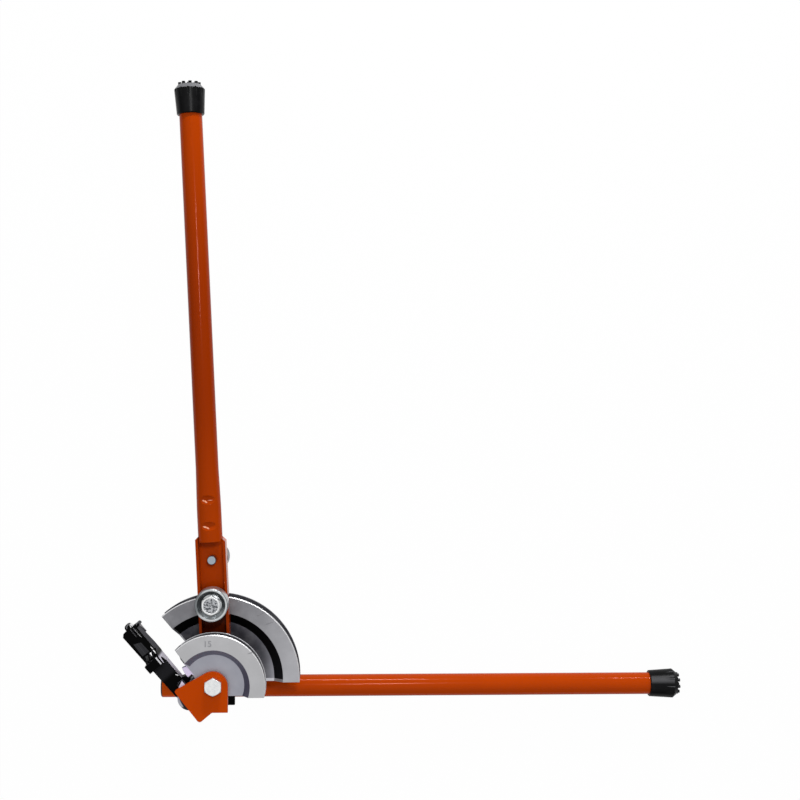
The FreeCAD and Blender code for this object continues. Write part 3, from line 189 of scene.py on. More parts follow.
def turning_coordinates(tree, centre=(0, 0)):
    """Distance from a lathe axis along Z, and a vector that is the same all round that axis."""
    place = add(tree, "TexCoord").outputs["Object"]
    offset = (-centre[0], -centre[1], 0)
    moved = add(tree, "Mapping", {"Vector": place, "Location": offset}).outputs["Vector"]
    axes = add(tree, "SeparateXYZ", {"Vector": moved}).outputs
    flat = add(tree, "CombineXYZ", {"X": axes["X"], "Y": axes["Y"]}).outputs["Vector"]
    radius = add(tree, "VectorMath", {0: flat}, operation="LENGTH").outputs["Value"]
    around = add(tree, "CombineXYZ", {"X": radius, "Z": axes["Z"]}).outputs["Vector"]
    return radius, around


def facing(tree, direction):
    """How squarely a face looks in a direction: 1 straight along it, 0 across it, -1 against."""
    normal = add(tree, "TexCoord").outputs["Normal"]
    return add(tree, "VectorMath", {0: normal, 1: direction},
               operation="DOT_PRODUCT").outputs["Value"]


def zone(tree, place, *spans, most=1):
    """Mask of part of a piece, soft at its edges, that rises from 0 outside it to the most.

    A span is what is measured, where the part begins and where it is full. What is measured is a
    direction, along which places are in millimetres, or a socket, whose values stay as they are.
    """
    mask = most
    for measured, begins, full in spans:
        if isinstance(measured, tuple):
            measured = add(tree, "VectorMath", {0: place, 1: measured},
                           operation="DOT_PRODUCT").outputs["Value"]
            begins, full = begins * MM, full * MM
        edge = add(tree, "MapRange", {"Value": measured, "From Min": begins, "From Max": full},
                   interpolation_type="SMOOTHSTEP").outputs["Result"]
        mask = add(tree, "Math", {0: mask, 1: edge}, operation="MULTIPLY").outputs["Value"]
    return mask


def rising(rise, limits):
    """Spans for a zone of the faces that look up by so much."""
    return [(rise, begins, full) for begins, full in limits]


def metres(limits):
    """Where a distance in metres begins and is full, from millimetres."""
    return [limit * MM for limit in limits]


def coated(tree, colour, *coats):
    """Colour under coats laid on in turn, each where its mask is and as thick as it."""
    for mask, coat in coats:
        under, over = (linear(side) if isinstance(side, str) else side for side in (colour, coat))
        colour = add(tree, "Mix", {0: mask, 6: under, 7: over}, data_type="RGBA").outputs[2]
    return colour


def with_relief(tree, height, strength, depth, rounding):
    """Normal of a surface with relief of this depth and edges rounded to this radius."""
    edge = add(tree, "Bevel", {"Radius": rounding * MM}, samples=4)
    return add(tree, "Bump", {
        "Height": height, "Strength": strength, "Distance": depth * MM,
        "Normal": edge.outputs["Normal"],
    }).outputs["Normal"]


# Powder coat: its colour drifts over a hand's breadth, and its orange peel is real size. Painted
# shade darkens it where something within reach hides the steel, most of all under the front
# roller.
PAINT_CLOUD = 40
ORANGE_PEEL = 1.6
PLAIN_SHINE = 0.08
TUBE_SHINE = 0.11
SHADE_REACH = 40
SHADE_OPENNESS = (0.7, 0.2)
DARKEST_SHADE = 0.8
UNDER_ROLLER = (76, 96)
SHADE_BEYOND_ROLLER = 0.1


def powder_coated_steel(name, low, high, coats=(), painted_shade=False, shine=PLAIN_SHINE):
    """Orange powder coat, sprayed and baked: a gloss skin with a little orange peel.

    Each coat is a part and its colour, painted lighter as light or darker as shade. A piece with
    painted shade is darkened brown where its surroundings hide the steel.
    """
    material, tree, shader = new_material("powder_coated_steel_" + name)
    place = add(tree, "TexCoord").outputs["Object"]
    cloud = add(tree, "TexNoise", {
        "Vector": place, "Scale": per_feature(PAINT_CLOUD), "Detail": 3,
    })
    colour = coated(tree, low, (cloud.outputs["Fac"], high),
                    *((zone(tree, place, *part), coat) for part, coat in coats))
    if painted_shade:
        # Painted shade: dark brown where the steel is hidden, most of all under the front roller
        openness = add(tree, "AmbientOcclusion", {"Distance": SHADE_REACH * MM}, samples=8)
        up = add(tree, "SeparateXYZ", {"Vector": place}).outputs["Y"]
        fading = add(tree, "MapRange", {
            "Value": up, "From Min": UNDER_ROLLER[0] * MM, "From Max": UNDER_ROLLER[1] * MM,
            "To Min": DARKEST_SHADE, "To Max": DARKEST_SHADE * SHADE_BEYOND_ROLLER,
        }, interpolation_type="SMOOTHSTEP").outputs["Result"]
        deep_shade = zone(tree, place, (openness.outputs["AO"], *SHADE_OPENNESS), most=fading)
        colour = coated(tree, colour, (deep_shade, "#2E1003"))
    peel = add(tree, "TexNoise", {
        "Vector": place, "Scale": per_feature(ORANGE_PEEL), "Detail": 2,
    })
    skin = with_relief(tree, peel.outputs["Fac"], strength=0.06, depth=0.2, rounding=0.5)
    set_surface(tree, shader, Base_Color=colour, Roughness=0.13, Specular_IOR_Level=shine,
                Specular_Tint=linear("#FFB4AC"), Normal=skin)
    return material


def small_former_floor(tree, place, floor):
    """The small former's floor with its stop for the hook arm: pad and block painted bright as
    highlight, side and block's end painted dark as shade.
    """
    return coated(
        tree, floor,
        (zone(tree, place, *STOP_SIDE), "#26262C"),
        (zone(tree, place, *STOP_PAD), "#D8CDE6"),
        (zone(tree, place, *STOP_BLOCK), "#DDDAEE"),
        (zone(tree, place, *STOP_BLOCK_END), "#101014"),
    )


# Large former: as angles, the floor's lit right-hand end, painted light; as radii, the ring shaded
# by the small former, painted shade, and the inner end of the cut face; and how strongly the first
# two show
LIT_END = (math.radians(32), math.radians(4))
LIT_STRENGTH = 0.8
SHADED_RING = (67, 55)
SHADED_STRENGTH = 0.6
CUT_END_INNER = (40, 45)


def large_former_dish(tree, place, radius, angle, floor, wall):
    """The large former's floor and wall, with painted light and shade, and painted highlights on
    the step by the cut and on the cut end.
    """
    lit = zone(tree, place, (angle, *LIT_END), most=LIT_STRENGTH)
    shaded = zone(tree, place, (radius, *metres(SHADED_RING)), most=SHADED_STRENGTH)
    end = zone(tree, place, *CUT_END, (radius, *metres(CUT_END_INNER)))
    cut_edge_glint = zone(tree, place, *CUT_EDGE_GLINT)
    floor = coated(tree, floor, (lit, "#A4A4AC"), (shaded, "#1E1E24"), (end, "#D2D2D8"),
                   (cut_edge_glint, "#A6A6AC"))
    wall = coated(tree, wall, (end, "#B8B8BE"), (cut_edge_glint, "#8E8E94"))
    return floor, wall


# Outside the dish, from a former's top: the groove below it and the raised marks above it, both
# painted darker as shade. From the small flange's radius: the painted highlight on the lit edge of
# its back.
BELOW_TOP = (-1.8, -2.6)
ABOVE_TOP = (0.02, 0.12)
FLANGE_LIT_EDGE = (-1.1, -0.6)


def former_outside(tree, place, size, radius, rise, rim):
    """A former outside its dish: bevels painted bright as highlight; groove, sides and raised
    marks painted dark as shade.
    """
    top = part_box("former_" + size)[1].z / MM
    groove = zone(tree, place, (ALONG_Z, *(top + height for height in BELOW_TOP)))
    marks = zone(tree, place, (ALONG_Z, *(top + height for height in ABOVE_TOP)))
    # Painted highlight on the bevels; painted shade on the sides, in the groove and on the raised
    # marks
    coats = [
        (zone(tree, place, *rising(rise, ON_BEVEL)), "#F4F4F6"),
        (zone(tree, place, *rising(rise, ON_WALL)), "#505056"),
        (groove, "#46464C"),
        (marks, "#8E8E92"),
    ]
    if size == "15":
        lit_edge = metres(SMALL_FLANGE_RADIUS + inset for inset in FLANGE_LIT_EDGE)
        on_flat = rising(rise, ON_FLAT)
        # Painted highlight on the small flange's back edge; the lug's flat painted lit grey and
        # its end painted dark as shade
        coats += [
            (zone(tree, place, *SMALL_FLANGE_BACK, (radius, *lit_edge)), "#E0E0E4"),
            (zone(tree, place, *SMALL_LUG, *on_flat), "#A2A2AA"),
            (zone(tree, place, *SMALL_LUG_END, *on_flat), "#2C2C32"),
        ]
    return coated(tree, rim, *coats)


# Formers. The real casting grain is about 0.4 mm and the turning tool's feed 0.15 mm, both too
# fine to show where a pixel covers 1.2 mm, so they are drawn coarser.
CASTING_GRAIN = 1.1
TURNING_MARKS = 0.5
HANDLING_STAIN = 14
STAINED = (0.35, 0.75)
STAIN_STRENGTH = 0.1
DISH_EDGE_BLUR = 0.3
TURNED_ROUGHNESS = 0.42
CAST_ROUGHNESS = 0.6


def die_cast_aluminium(size):
    """Die-cast aluminium former: rim and groove turned, dish as cast and dull; painted light and
    shade.
    """
    former = FORMERS[size]
    material, tree, shader = new_material("die_cast_aluminium_" + size)
    place = add(tree, "TexCoord").outputs["Object"]
    radius, around = turning_coordinates(tree)
    axes = add(tree, "SeparateXYZ", {"Vector": place}).outputs
    angle = add(tree, "Math", {0: axes["Y"], 1: axes["X"]}, operation="ARCTAN2").outputs["Value"]
    rise = add(tree, "Math", {0: facing(tree, ALONG_Z)}, operation="ABSOLUTE").outputs["Value"]
    past_top = zone(tree, place, (angle, 0, PAST_TOP))
    # Painted light and shade: each face's colour changes past the top of the half circle
    rim, wall, floor = (coated(tree, former[face][0], (past_top, former[face][1]))
                        for face in ("rim", "wall", "floor"))
    outside = former_outside(tree, place, size, radius, rise, rim)
    if size == "15":
        floor = small_former_floor(tree, place, floor)
    else:
        floor, wall = large_former_dish(tree, place, radius, angle, floor, wall)
    cloud = add(tree, "TexNoise", {
        "Vector": place, "Scale": per_feature(HANDLING_STAIN), "Detail": 3,
    })
    stained = zone(tree, place, (cloud.outputs["Fac"], *STAINED), most=STAIN_STRENGTH)
    stain = (stained, "#D8D8DC")
    on_floor = zone(tree, place, *rising(rise, ON_FLAT))
    dish = coated(tree, wall, (on_floor, coated(tree, floor, stain)))
    edge = former["rim_inner"]
    in_dish = zone(tree, place, (radius, *metres((edge + DISH_EDGE_BLUR, edge))))
    colour = coated(tree, outside, stain, (in_dish, dish))
    lines = add(tree, "TexNoise", {
        "Vector": around, "Scale": per_feature(TURNING_MARKS), "Detail": 2,
    })
    sand = add(tree, "TexNoise", {
        "Vector": place, "Scale": per_feature(CASTING_GRAIN), "Detail": 4,
    })
    grain = add(tree, "Mix", {0: in_dish, 2: lines.outputs["Fac"], 3: sand.outputs["Fac"]})
    relief = with_relief(tree, grain.outputs[0], strength=0.25, depth=0.15, rounding=0.5)
    roughness = add(tree, "MapRange", {
        "Value": in_dish, "To Min": TURNED_ROUGHNESS, "To Max": CAST_ROUGHNESS,
    })
    set_surface(tree, shader, Base_Color=colour, Metallic=0.9,
                Roughness=roughness.outputs["Result"], Normal=relief)
    return material


# Zinc plate: its clouds are real size, and its pits, really about 0.2 mm, are drawn coarser. The
# roller bolt's head has a round recess of this radius.
PLATE_CLOUD = 3
PLATE_PITS = 0.7
RECESS_BLOTCH = 2.2
BLOTCHED = (0.4, 0.6)
RECESS_RADIUS = (8.3, 7.9)
PLATE_ROUGHNESS = (0.22, 0.36)


def bright_zinc_plate(name, recess_centre=None):
    """Zinc-plated steel fasteners: bright, slightly cloudy, dull and blotched inside a recess."""
    material, tree, shader = new_material("bright_zinc_plate_" + name)
    place = add(tree, "TexCoord").outputs["Object"]
    cloud = add(tree, "TexNoise", {
        "Vector": place, "Scale": per_feature(PLATE_CLOUD), "Detail": 4,
    }).outputs["Fac"]
    colour = coated(tree, "#C9CCD0", (cloud, "#F0F0EE"))
    if recess_centre:
        radius, _ = turning_coordinates(tree, recess_centre)
        blotches = add(tree, "TexNoise", {
            "Vector": place, "Scale": per_feature(RECESS_BLOTCH), "Detail": 3,
        })
        patchy = zone(tree, place, (blotches.outputs["Fac"], *BLOTCHED))
        inside = zone(tree, place, (radius, *metres(RECESS_RADIUS)))
        colour = coated(tree, colour, (inside, coated(tree, "#4C4E52", (patchy, "#B4B6B9"))))
    pits = add(tree, "TexNoise", {"Vector": place, "Scale": per_feature(PLATE_PITS), "Detail": 3})
    relief = with_relief(tree, pits.outputs["Fac"], strength=0.2, depth=0.1, rounding=0.4)
    roughness = add(tree, "MapRange", {
        "Value": cloud, "From Min": NOISE_MIDDLE[0], "From Max": NOISE_MIDDLE[1],
        "To Min": PLATE_ROUGHNESS[0], "To Max": PLATE_ROUGHNESS[1],
    }, interpolation_type="SMOOTHSTEP")
    set_surface(tree, shader, Base_Color=colour, Metallic=1,
                Roughness=roughness.outputs["Result"], Normal=relief)
    return material


# Rollers: tool lines have a real feed of 0.15 mm and are drawn coarser. A painted dark reflection
# fills the coned dish above a line below the middle, and painted shade lies on the lower left.
# Places are from the axis.
ROLLER_LINES = 0.45
CONE_DARK_REFLECTION_ABOVE = (-8, -1)
UNLIT_LEFT = (-6, -14)
UNLIT_ABOVE = (-14, -6)


def turned_steel(name, centre, low, high):
    """Turned and plated roller steel: fine tool lines round the roller's own axis.

    The coned dish has a painted dark reflection, and only its lower part is left bright.
    """
    material, tree, shader = new_material("turned_steel_" + name)
    place = add(tree, "TexCoord").outputs["Object"]
    _, around = turning_coordinates(tree, centre)
    left, middle = centre.x / MM, centre.y / MM
    lines = add(tree, "TexNoise", {
        "Vector": around, "Scale": per_feature(ROLLER_LINES), "Detail": 3,
    }).outputs["Fac"]
    # Painted dark reflection in the cone above the line, and painted shade on the left
    cone_dark_reflection = zone(tree, place, *rising(facing(tree, ALONG_Z), ON_CONE),
                (ALONG_Y, *(middle + limit for limit in CONE_DARK_REFLECTION_ABOVE)))
    unlit = zone(tree, place, (ALONG_X, *(left + limit for limit in UNLIT_LEFT)),
                 (ALONG_Y, *(middle + limit for limit in UNLIT_ABOVE)))
    colour = coated(tree, low, (lines, high), (cone_dark_reflection, "#74787A"), (unlit, "#74787A"))
    relief = with_relief(tree, lines, strength=0.35, depth=0.12, rounding=0.5)
    set_surface(tree, shader, Base_Color=colour, Metallic=0.85, Roughness=0.3, Normal=relief)
    return material


# Drawing marks are really about 0.1 mm wide and drawn coarser, and run far along the bend axis
DRAWING_MARKS = 0.6
DRAWN_OUT = (1, 1, 0.08)


def bright_drawn_steel():
    """Drawn steel of spacers, bosses and washers: grey, lightly scratched and oiled."""
    material, tree, shader = new_material("bright_drawn_steel")
    place = add(tree, "TexCoord").outputs["Object"]
    drawn = add(tree, "Mapping", {"Vector": place, "Scale": DRAWN_OUT}).outputs["Vector"]
    streaks = add(tree, "TexNoise", {
        "Vector": drawn, "Scale": per_feature(DRAWING_MARKS), "Detail": 3,
    }).outputs["Fac"]
    relief = with_relief(tree, streaks, strength=0.2, depth=0.1, rounding=0.3)
    set_surface(tree, shader, Base_Color=coated(tree, "#85878A", (streaks, "#A9ABAE")),
                Metallic=1, Roughness=0.34, Normal=relief)
    return material


# Enamelled iron: moulding sand leaves a grain of about 0.4 mm, drawn coarser, and real lumps
SAND_GRAIN = 1.4
ENAMEL_LUMPS = 7
RUBBED_EDGE = 0.8
RUBBED_EVENNESS = (0.97, 0.8)
RUBBED_STRENGTH = 0.45
TOWARDS_FORMERS = (-0.8, -0.95)


def black_enamelled_iron():
    """Black enamel on sand-cast iron: lumpy under the gloss, and grey where edges are rubbed.

    Painted light lies on the bar, the side towards the formers near the pivot, the sloped side,
    the slots and the saddle's lip.
    """
    material, tree, shader = new_material("black_enamelled_iron")
    place = add(tree, "TexCoord").outputs["Object"]
    sand = add(tree, "TexNoise", {
        "Vector": place, "Scale": per_feature(SAND_GRAIN), "Detail": 5,
    }).outputs["Fac"]
    lumps = add(tree, "TexNoise", {
        "Vector": place, "Scale": per_feature(ENAMEL_LUMPS), "Detail": 2,
    }).outputs["Fac"]
    edge = add(tree, "Bevel", {"Radius": RUBBED_EDGE * MM}, samples=6).outputs["Normal"]
    face = add(tree, "NewGeometry").outputs["Normal"]
    evenness = add(tree, "VectorMath", {0: edge, 1: face}, operation="DOT_PRODUCT")
    bare = add(tree, "Math", {0: sand, 1: RUBBED_STRENGTH}, operation="MULTIPLY")
    rubbed = zone(tree, place, (evenness.outputs["Value"], *RUBBED_EVENNESS),
                  most=bare.outputs["Value"])
    inward = (facing(tree, HOOK_AWAY), *TOWARDS_FORMERS)
    # Painted light: grey on the bar, pale on the lit side and the saddle's lip, dim grey on the
    # sloped side, pale and grey in the slots
    slot_wall = coated(tree, "#F0F0F2", (zone(tree, place, *HOOK_SLOT_BOTTOM), "#8A8A8E"))
    colour = coated(
        tree, "#020202",
        (lumps, "#070708"),
        (zone(tree, place, *HOOK_BAR), "#222225"),
        (rubbed, "#6A6A6C"),
        (zone(tree, place, inward, *HOOK_LIT_SIDE), "#D9D6E4"),
        (zone(tree, place, inward, *HOOK_SLOPED_SIDE), "#2B2B34"),
        (zone(tree, place, inward, *HOOK_SLOTS), slot_wall),
        (zone(tree, place, *HOOK_SADDLE_LIP), "#DCDCE0"),
    )
    both = add(tree, "Math", {0: sand, 1: lumps}, operation="ADD")
    relief = add(tree, "Bump", {
        "Height": both.outputs["Value"], "Strength": 0.45, "Distance": 0.3 * MM, "Normal": edge,
    })
    set_surface(tree, shader, Base_Color=colour, Roughness=0.32, Specular_IOR_Level=0.025,
                Normal=relief.outputs["Normal"])
    return material


# Feet: the grain is really about 0.3 mm and drawn coarser. The lower foot has a painted sheen on
# its crown and the lever's foot on its far side; each has where the sheen begins and is full.
RUBBER_GRAIN = 0.9
RUBBER_DUST = 9
DUSTY = (0.45, 0.75)
DUST_STRENGTH = 0.35
SHEEN_STRENGTH = 0.8
LOWER_FOOT_CROWN = ((0, 0.45, 0.89), 0.93, 1.05)
LEVER_FOOT_FAR_SIDE = (ALONG_Y, 0.35, 0.7)


def moulded_rubber(name, sheen):
    """Moulded rubber: black with a fine grain, a little dust, and a grey painted sheen on one
    side.
    """
    material, tree, shader = new_material("moulded_rubber_" + name)
    place = add(tree, "TexCoord").outputs["Object"]
    side, begins, full = sheen
    cloud = add(tree, "TexNoise", {
        "Vector": place, "Scale": per_feature(RUBBER_DUST), "Detail": 3,
    })
    dusty = zone(tree, place, (cloud.outputs["Fac"], *DUSTY), most=DUST_STRENGTH)
    # Painted sheen on the side that faces the light
    sheened = zone(tree, place, (facing(tree, side), begins, full), most=SHEEN_STRENGTH)
    colour = coated(tree, "#050506", (dusty, "#1A1A1C"), (sheened, "#77777A"))
    grain = add(tree, "TexNoise", {
        "Vector": place, "Scale": per_feature(RUBBER_GRAIN), "Detail": 4,
    })
    relief = with_relief(tree, grain.outputs["Fac"], strength=0.3, depth=0.15, rounding=0.6)
    set_surface(tree, shader, Base_Color=colour, Roughness=0.3, Specular_IOR_Level=0.1,
                Normal=relief)
    return material


# The plug's flow marks are real size
FLOW_MARKS = 5
PLUG_IOR = 1.5
PLUG_ROUGHNESS = (0.34, 0.46)


def moulded_polyethylene():
    """Black polyethylene plug: smooth and waxy, with faint flow marks."""
    material, tree, shader = new_material("moulded_polyethylene")
    place = add(tree, "TexCoord").outputs["Object"]
    flow = add(tree, "TexNoise", {
        "Vector": place, "Scale": per_feature(FLOW_MARKS), "Distortion": 1.5,
    }).outputs["Fac"]
    roughness = add(tree, "MapRange", {
        "Value": flow, "From Min": NOISE_MIDDLE[0], "From Max": NOISE_MIDDLE[1],
        "To Min": PLUG_ROUGHNESS[0], "To Max": PLUG_ROUGHNESS[1],
    }, interpolation_type="SMOOTHSTEP")
    set_surface(tree, shader, Base_Color=coated(tree, "#111113", (flow, "#1E1E21")),
                Roughness=roughness.outputs["Result"], IOR=PLUG_IOR)
    return material


# The bronze's pores are really under 0.1 mm and drawn coarser
BRONZE_PORES = 0.7
PORE_EDGE = (0.35, 0.1)


def sintered_bronze():
    """Sintered bronze bushes: warm, dull and full of fine oil-filled pores."""
    material, tree, shader = new_material("sintered_bronze")
    place = add(tree, "TexCoord").outputs["Object"]
    pores = add(tree, "TexVoronoi", {
        "Vector": place, "Scale": per_feature(BRONZE_PORES),
    }).outputs["Distance"]
    filled = zone(tree, place, (pores, *PORE_EDGE))
    relief = add(tree, "Bump", {"Height": pores, "Strength": 0.3, "Distance": 0.1 * MM})
    set_surface(tree, shader, Base_Color=coated(tree, "#A8834C", (filled, "#5E4423")),
                Metallic=1, Roughness=0.45, Normal=relief.outputs["Normal"])
    return material


def roller_centre(node):
    """Middle of a round node, in metres."""
    low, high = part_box(node)
    return (low + high) / 2


# Painted light and shade: the lower tube, the plate, the channel and the lever tube take lighter
# and darker copies of one orange coat, and the rear roller a darker copy of the front roller's
# steel
finishes = {
    "orange_paint": powder_coated_steel("tube", "#B63E00", "#BE4200",
                                        [(TUBE_SHORT_END, "#DE5400")], shine=TUBE_SHINE),
    "zinc": bright_zinc_plate("fasteners"),
    "plain_steel": bright_drawn_steel(),
    "black_iron": black_enamelled_iron(),
    "black_plastic": moulded_polyethylene(),
    "bronze": sintered_bronze(),
}
own_finishes = {
    "front_plate": powder_coated_steel("plate", "#BE4200", "#C64600"),
    "lever_channel": powder_coated_steel("channel", "#983200", "#A03500",
                                         [(CHANNEL_FLOOR_END, "#CE4A00")], painted_shade=True),
    "lever_tube": powder_coated_steel("lever", "#A23700", "#AA3A00",
                                      [(LEVER_MIDDLE, "#902D00")]),
    "former_15": die_cast_aluminium("15"),
    "former_22": die_cast_aluminium("22"),
    "front_roller_bolt": bright_zinc_plate("roller_bolt", roller_centre("front_roller_bolt")),
    "front_roller": turned_steel("front", roller_centre("front_roller"), "#A6AAAC", "#DEE1E2"),
    "rear_roller": turned_steel("rear", roller_centre("rear_roller"), "#4A464A", "#706C70"),
    "rear_roller_axle": turned_steel("axle", roller_centre("rear_roller_axle"), "#76808A",
                                     "#B4BEC8"),
    "lower_handle_foot": moulded_rubber("lower", LOWER_FOOT_CROWN),
    "lever_foot": moulded_rubber("lever", LEVER_FOOT_FAR_SIDE),
}


def dress(piece, material):
    """Give a piece one material in all its slots."""
    if not piece.material_slots:
        piece.data.materials.append(material)
    for material_slot in piece.material_slots:
        material_slot.material = material


for subpart in frame["record"]["subparts"]:
    node = subpart["node"]
    dress(frame["nodes"][node], own_finishes.get(node) or finishes[subpart["material_slot"]])


def new_piece(name, shape, material, body):
    """Turn a bmesh into a named piece that rides on a body."""
    mesh = bpy.data.meshes.new(name)
    bmesh.ops.recalc_face_normals(shape, faces=shape.faces)
    shape.to_mesh(mesh)
    shape.free()
    piece = bpy.data.objects.new(name, mesh)
    bpy.context.scene.collection.objects.link(piece)
    dress(piece, material)
    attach(piece, body)


def add_skin(shape, rings):
    """Faces between neighbouring rings of points, and one across each end."""
    for first, second in zip(rings, rings[1:]):
        for corner in range(len(first)):
            after = (corner + 1) % len(first)
            shape.faces.new((first[corner], first[after], second[after], second[corner]))
    shape.faces.new(rings[0])
    shape.faces.new(reversed(rings[-1]))


# Ridges: corners across the width and up from the surface, as shares of width and height, the
# share of the width that is left at both ends, and how far apart the points along them are
RIDGE_PROFILE = ((-0.5, -1), (-0.25, 1), (0.25, 1), (0.5, -1))
RIDGE_END = 0.35
RIDGE_STEP = 1


def along_course(corners, step):
    """Points along a course through corners, close enough together for a smooth ridge."""
    course = [Vector(corner) * MM for corner in corners]
    points = []
    for start, end in zip(course, course[1:]):
        count = max(2, round((end - start).length / (step * MM)))
        points += [start.lerp(end, index / count) for index in range(count)]
    return points + [course[-1]]


def add_ridge(shape, corners, width, height, step=RIDGE_STEP):
    """Low ridge with sloping sides on a course through corners, drawn in at both ends."""
    points = along_course(corners, step)
    last = len(points) - 1
    rings = []
    for index, point in enumerate(points):
        course = (points[min(index + 1, last)] - points[max(index - 1, 0)]).normalized()
        side = Vector(ALONG_Z).cross(course).normalized()
        breadth = width * MM * (RIDGE_END if index in (0, last) else 1)
        rings.append([shape.verts.new(point + across * breadth * side
                                      + Vector((0, 0, rise * height * MM)))
                      for across, rise in RIDGE_PROFILE])
    add_skin(shape, rings)


# Raised marks on the formers; a figure is this share of the height that its font is set to
FIGURE_SHARE = 0.7
FIGURE_RELIEF = 0.3
FIGURE_BEVEL = FIGURE_RELIEF / 3
SCALE_LINE_STEP = 2
SCALE_LINE_WIDTH = 1.1
SCALE_LINE_HEIGHT = 0.25


def add_figures(shape, text, height, place):
    """Raised figures, centred on a place in metres."""
    curve = bpy.data.curves.new("figures", "FONT")
    curve.body = text
    curve.size = height * MM / FIGURE_SHARE
    curve.extrude = FIGURE_RELIEF * MM
    curve.bevel_depth = FIGURE_BEVEL * MM
    curve.align_x = "CENTER"
    curve.align_y = "CENTER"
    holder = bpy.data.objects.new("figures", curve)
    bpy.context.scene.collection.objects.link(holder)
    drawn = holder.evaluated_get(bpy.context.evaluated_depsgraph_get())
    mesh = bpy.data.meshes.new_from_object(drawn)
    mesh.transform(Matrix.Translation(place))
    shape.from_mesh(mesh)
    bpy.data.objects.remove(holder)
    bpy.data.curves.remove(curve)
    bpy.data.meshes.remove(mesh)


def former_marks(size):
    """Cast size figure on a former's rim, and the lines of its bend-angle scale that show."""
    node = "former_" + size
    former = FORMERS[size]
    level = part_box(node)[1].z
    across, up = former["figures_at"]
    shape = bmesh.new()
    add_figures(shape, size, former["figure_height"], (across * MM, up * MM, level))
    for start, end in former["scale_lines"]:
        add_ridge(shape, ((*start, level / MM), (*end, level / MM)), SCALE_LINE_WIDTH,
                  SCALE_LINE_HEIGHT, SCALE_LINE_STEP)
    new_piece(node + "_marks", shape, own_finishes[node], "frame")


# Scuffs across the ribs' painted highlights are real size
IRON_SCUFFS = 0.8
IRON_SCUFFED = (0.4, 0.7)
IRON_SCUFF_STRENGTH = 0.35


def glinting_iron(name, colour):
    """Painted highlights on the casting's ribs, so that they glint against the black."""
    material, tree, shader = new_material("glinting_iron_" + name)
    place = add(tree, "TexCoord").outputs["Object"]
    scuffs = add(tree, "TexNoise", {
        "Vector": place, "Scale": per_feature(IRON_SCUFFS), "Detail": 3,
    })
    dark = zone(tree, place, (scuffs.outputs["Fac"], *IRON_SCUFFED), most=IRON_SCUFF_STRENGTH)
    set_surface(tree, shader, Base_Color=coated(tree, colour, (dark, "#2C2C2E")), Metallic=0.4,
                Roughness=0.35)
    return material


def on_hook(out, away, level):
    """Place on the hook arm, in millimetres."""
    return tuple(out * a + away * b + c
                 for a, b, c in zip(HOOK_OUT, HOOK_AWAY, (0, 0, level)))


# The hook arm's upper face, and its ribs as widths and corners out along the arm and away
HOOK_TOP = 101.5
HOOK_RIB_HEIGHT = 0.3
# The ribs' colours are painted highlights: white for bright glints, grey for dim ones
HOOK_RIBS = {
    "bright": ("#F2F2F2", [
        (1.5, [(110.6, 29.4), (108.6, 30), (106.7, 30.6)]),
        (1.3, [(77, 27.6), (74.8, 27.4), (72.6, 27.2)]),
        (1.7, [(35.6, 26.4), (34, 25.4), (32.6, 24.4)]),
    ]),
    "grey": ("#727276", [
        (1.8, [(108.8, 35), (110.8, 33.6), (111.6, 31.6), (111, 29.8)]),
        (1.2, [(105.6, 29), (103.4, 28.9), (101.6, 29.4)]),
        (1.3, [(105.2, 24.4), (106.4, 22.8), (106.6, 20.6)]),
        (1.0, [(64, 42), (60, 42), (56, 41.9)]),
    ]),
}


def hook_ribs():
    """Low ribs on the hook arm, coloured as painted highlights, some bright and some grey."""
    for word, (colour, ribs) in HOOK_RIBS.items():
        shape = bmesh.new()
        for width, corners in ribs:
            add_ridge(shape, [on_hook(*corner, HOOK_TOP) for corner in corners], width,
                      HOOK_RIB_HEIGHT)
        new_piece("hook_ribs_" + word, shape, glinting_iron(word, colour), "hook")


# Slabs have a chamfer this far down and this far in
CHAMFER_DOWN = 0.2
CHAMFER_IN = 0.25


def slab(outline, low, high):
    """Flat slab with a chamfered top, over corners given out along the hook arm and away."""
    corners = [Vector(on_hook(*corner, 0)) for corner in outline]
    middle = sum(corners, Vector((0, 0, 0))) / len(corners)
    shape = bmesh.new()
    rings = []
    for level, inset in ((low, 0), (high - CHAMFER_DOWN, 0), (high, CHAMFER_IN)):
        rings.append([
            shape.verts.new((corner + (middle - corner).normalized() * inset
                             + Vector((0, 0, level))) * MM)
            for corner in corners
        ])
    add_skin(shape, rings)
    return shape


# Sand marks of the pad, really about 0.4 mm, are drawn coarser
PAD_STRIPES = 1.4
PAD_STRIPED = (0.4, 0.6)
PAD_SAND = 1.2


def lit_pad_iron():
    """Enamelled iron of the hook's raised pad, painted grey as its lit face, with faint lines
    along the arm.
    """
    material, tree, shader = new_material("lit_pad_iron")
    place = add(tree, "TexCoord").outputs["Object"]
    away = add(tree, "VectorMath", {0: place, 1: HOOK_AWAY}, operation="DOT_PRODUCT")
    across = add(tree, "CombineXYZ", {"X": away.outputs["Value"]}).outputs["Vector"]
    stripes = add(tree, "TexNoise", {"Vector": across, "Scale": per_feature(PAD_STRIPES)})
    striped = zone(tree, place, (stripes.outputs["Fac"], *PAD_STRIPED))
    sand = add(tree, "TexNoise", {"Vector": place, "Scale": per_feature(PAD_SAND), "Detail": 4})
    relief = add(tree, "Bump", {
        "Height": sand.outputs["Fac"], "Strength": 0.3, "Distance": 0.2 * MM,
    })
    # Painted light: the pad is grey where the black arm's face catches the light
    set_surface(tree, shader, Base_Color=coated(tree, "#26262A", (striped, "#3C3C3F")),
                Roughness=0.5, Specular_IOR_Level=0.1, Normal=relief.outputs["Normal"])
    return material


PAD_CORNERS = [(90.9, 40.3), (87.3, 32.6), (73.6, 31.9), (74.3, 41.3)]
PAD_SUNK = 0.3
PAD_PROUD = 0.5


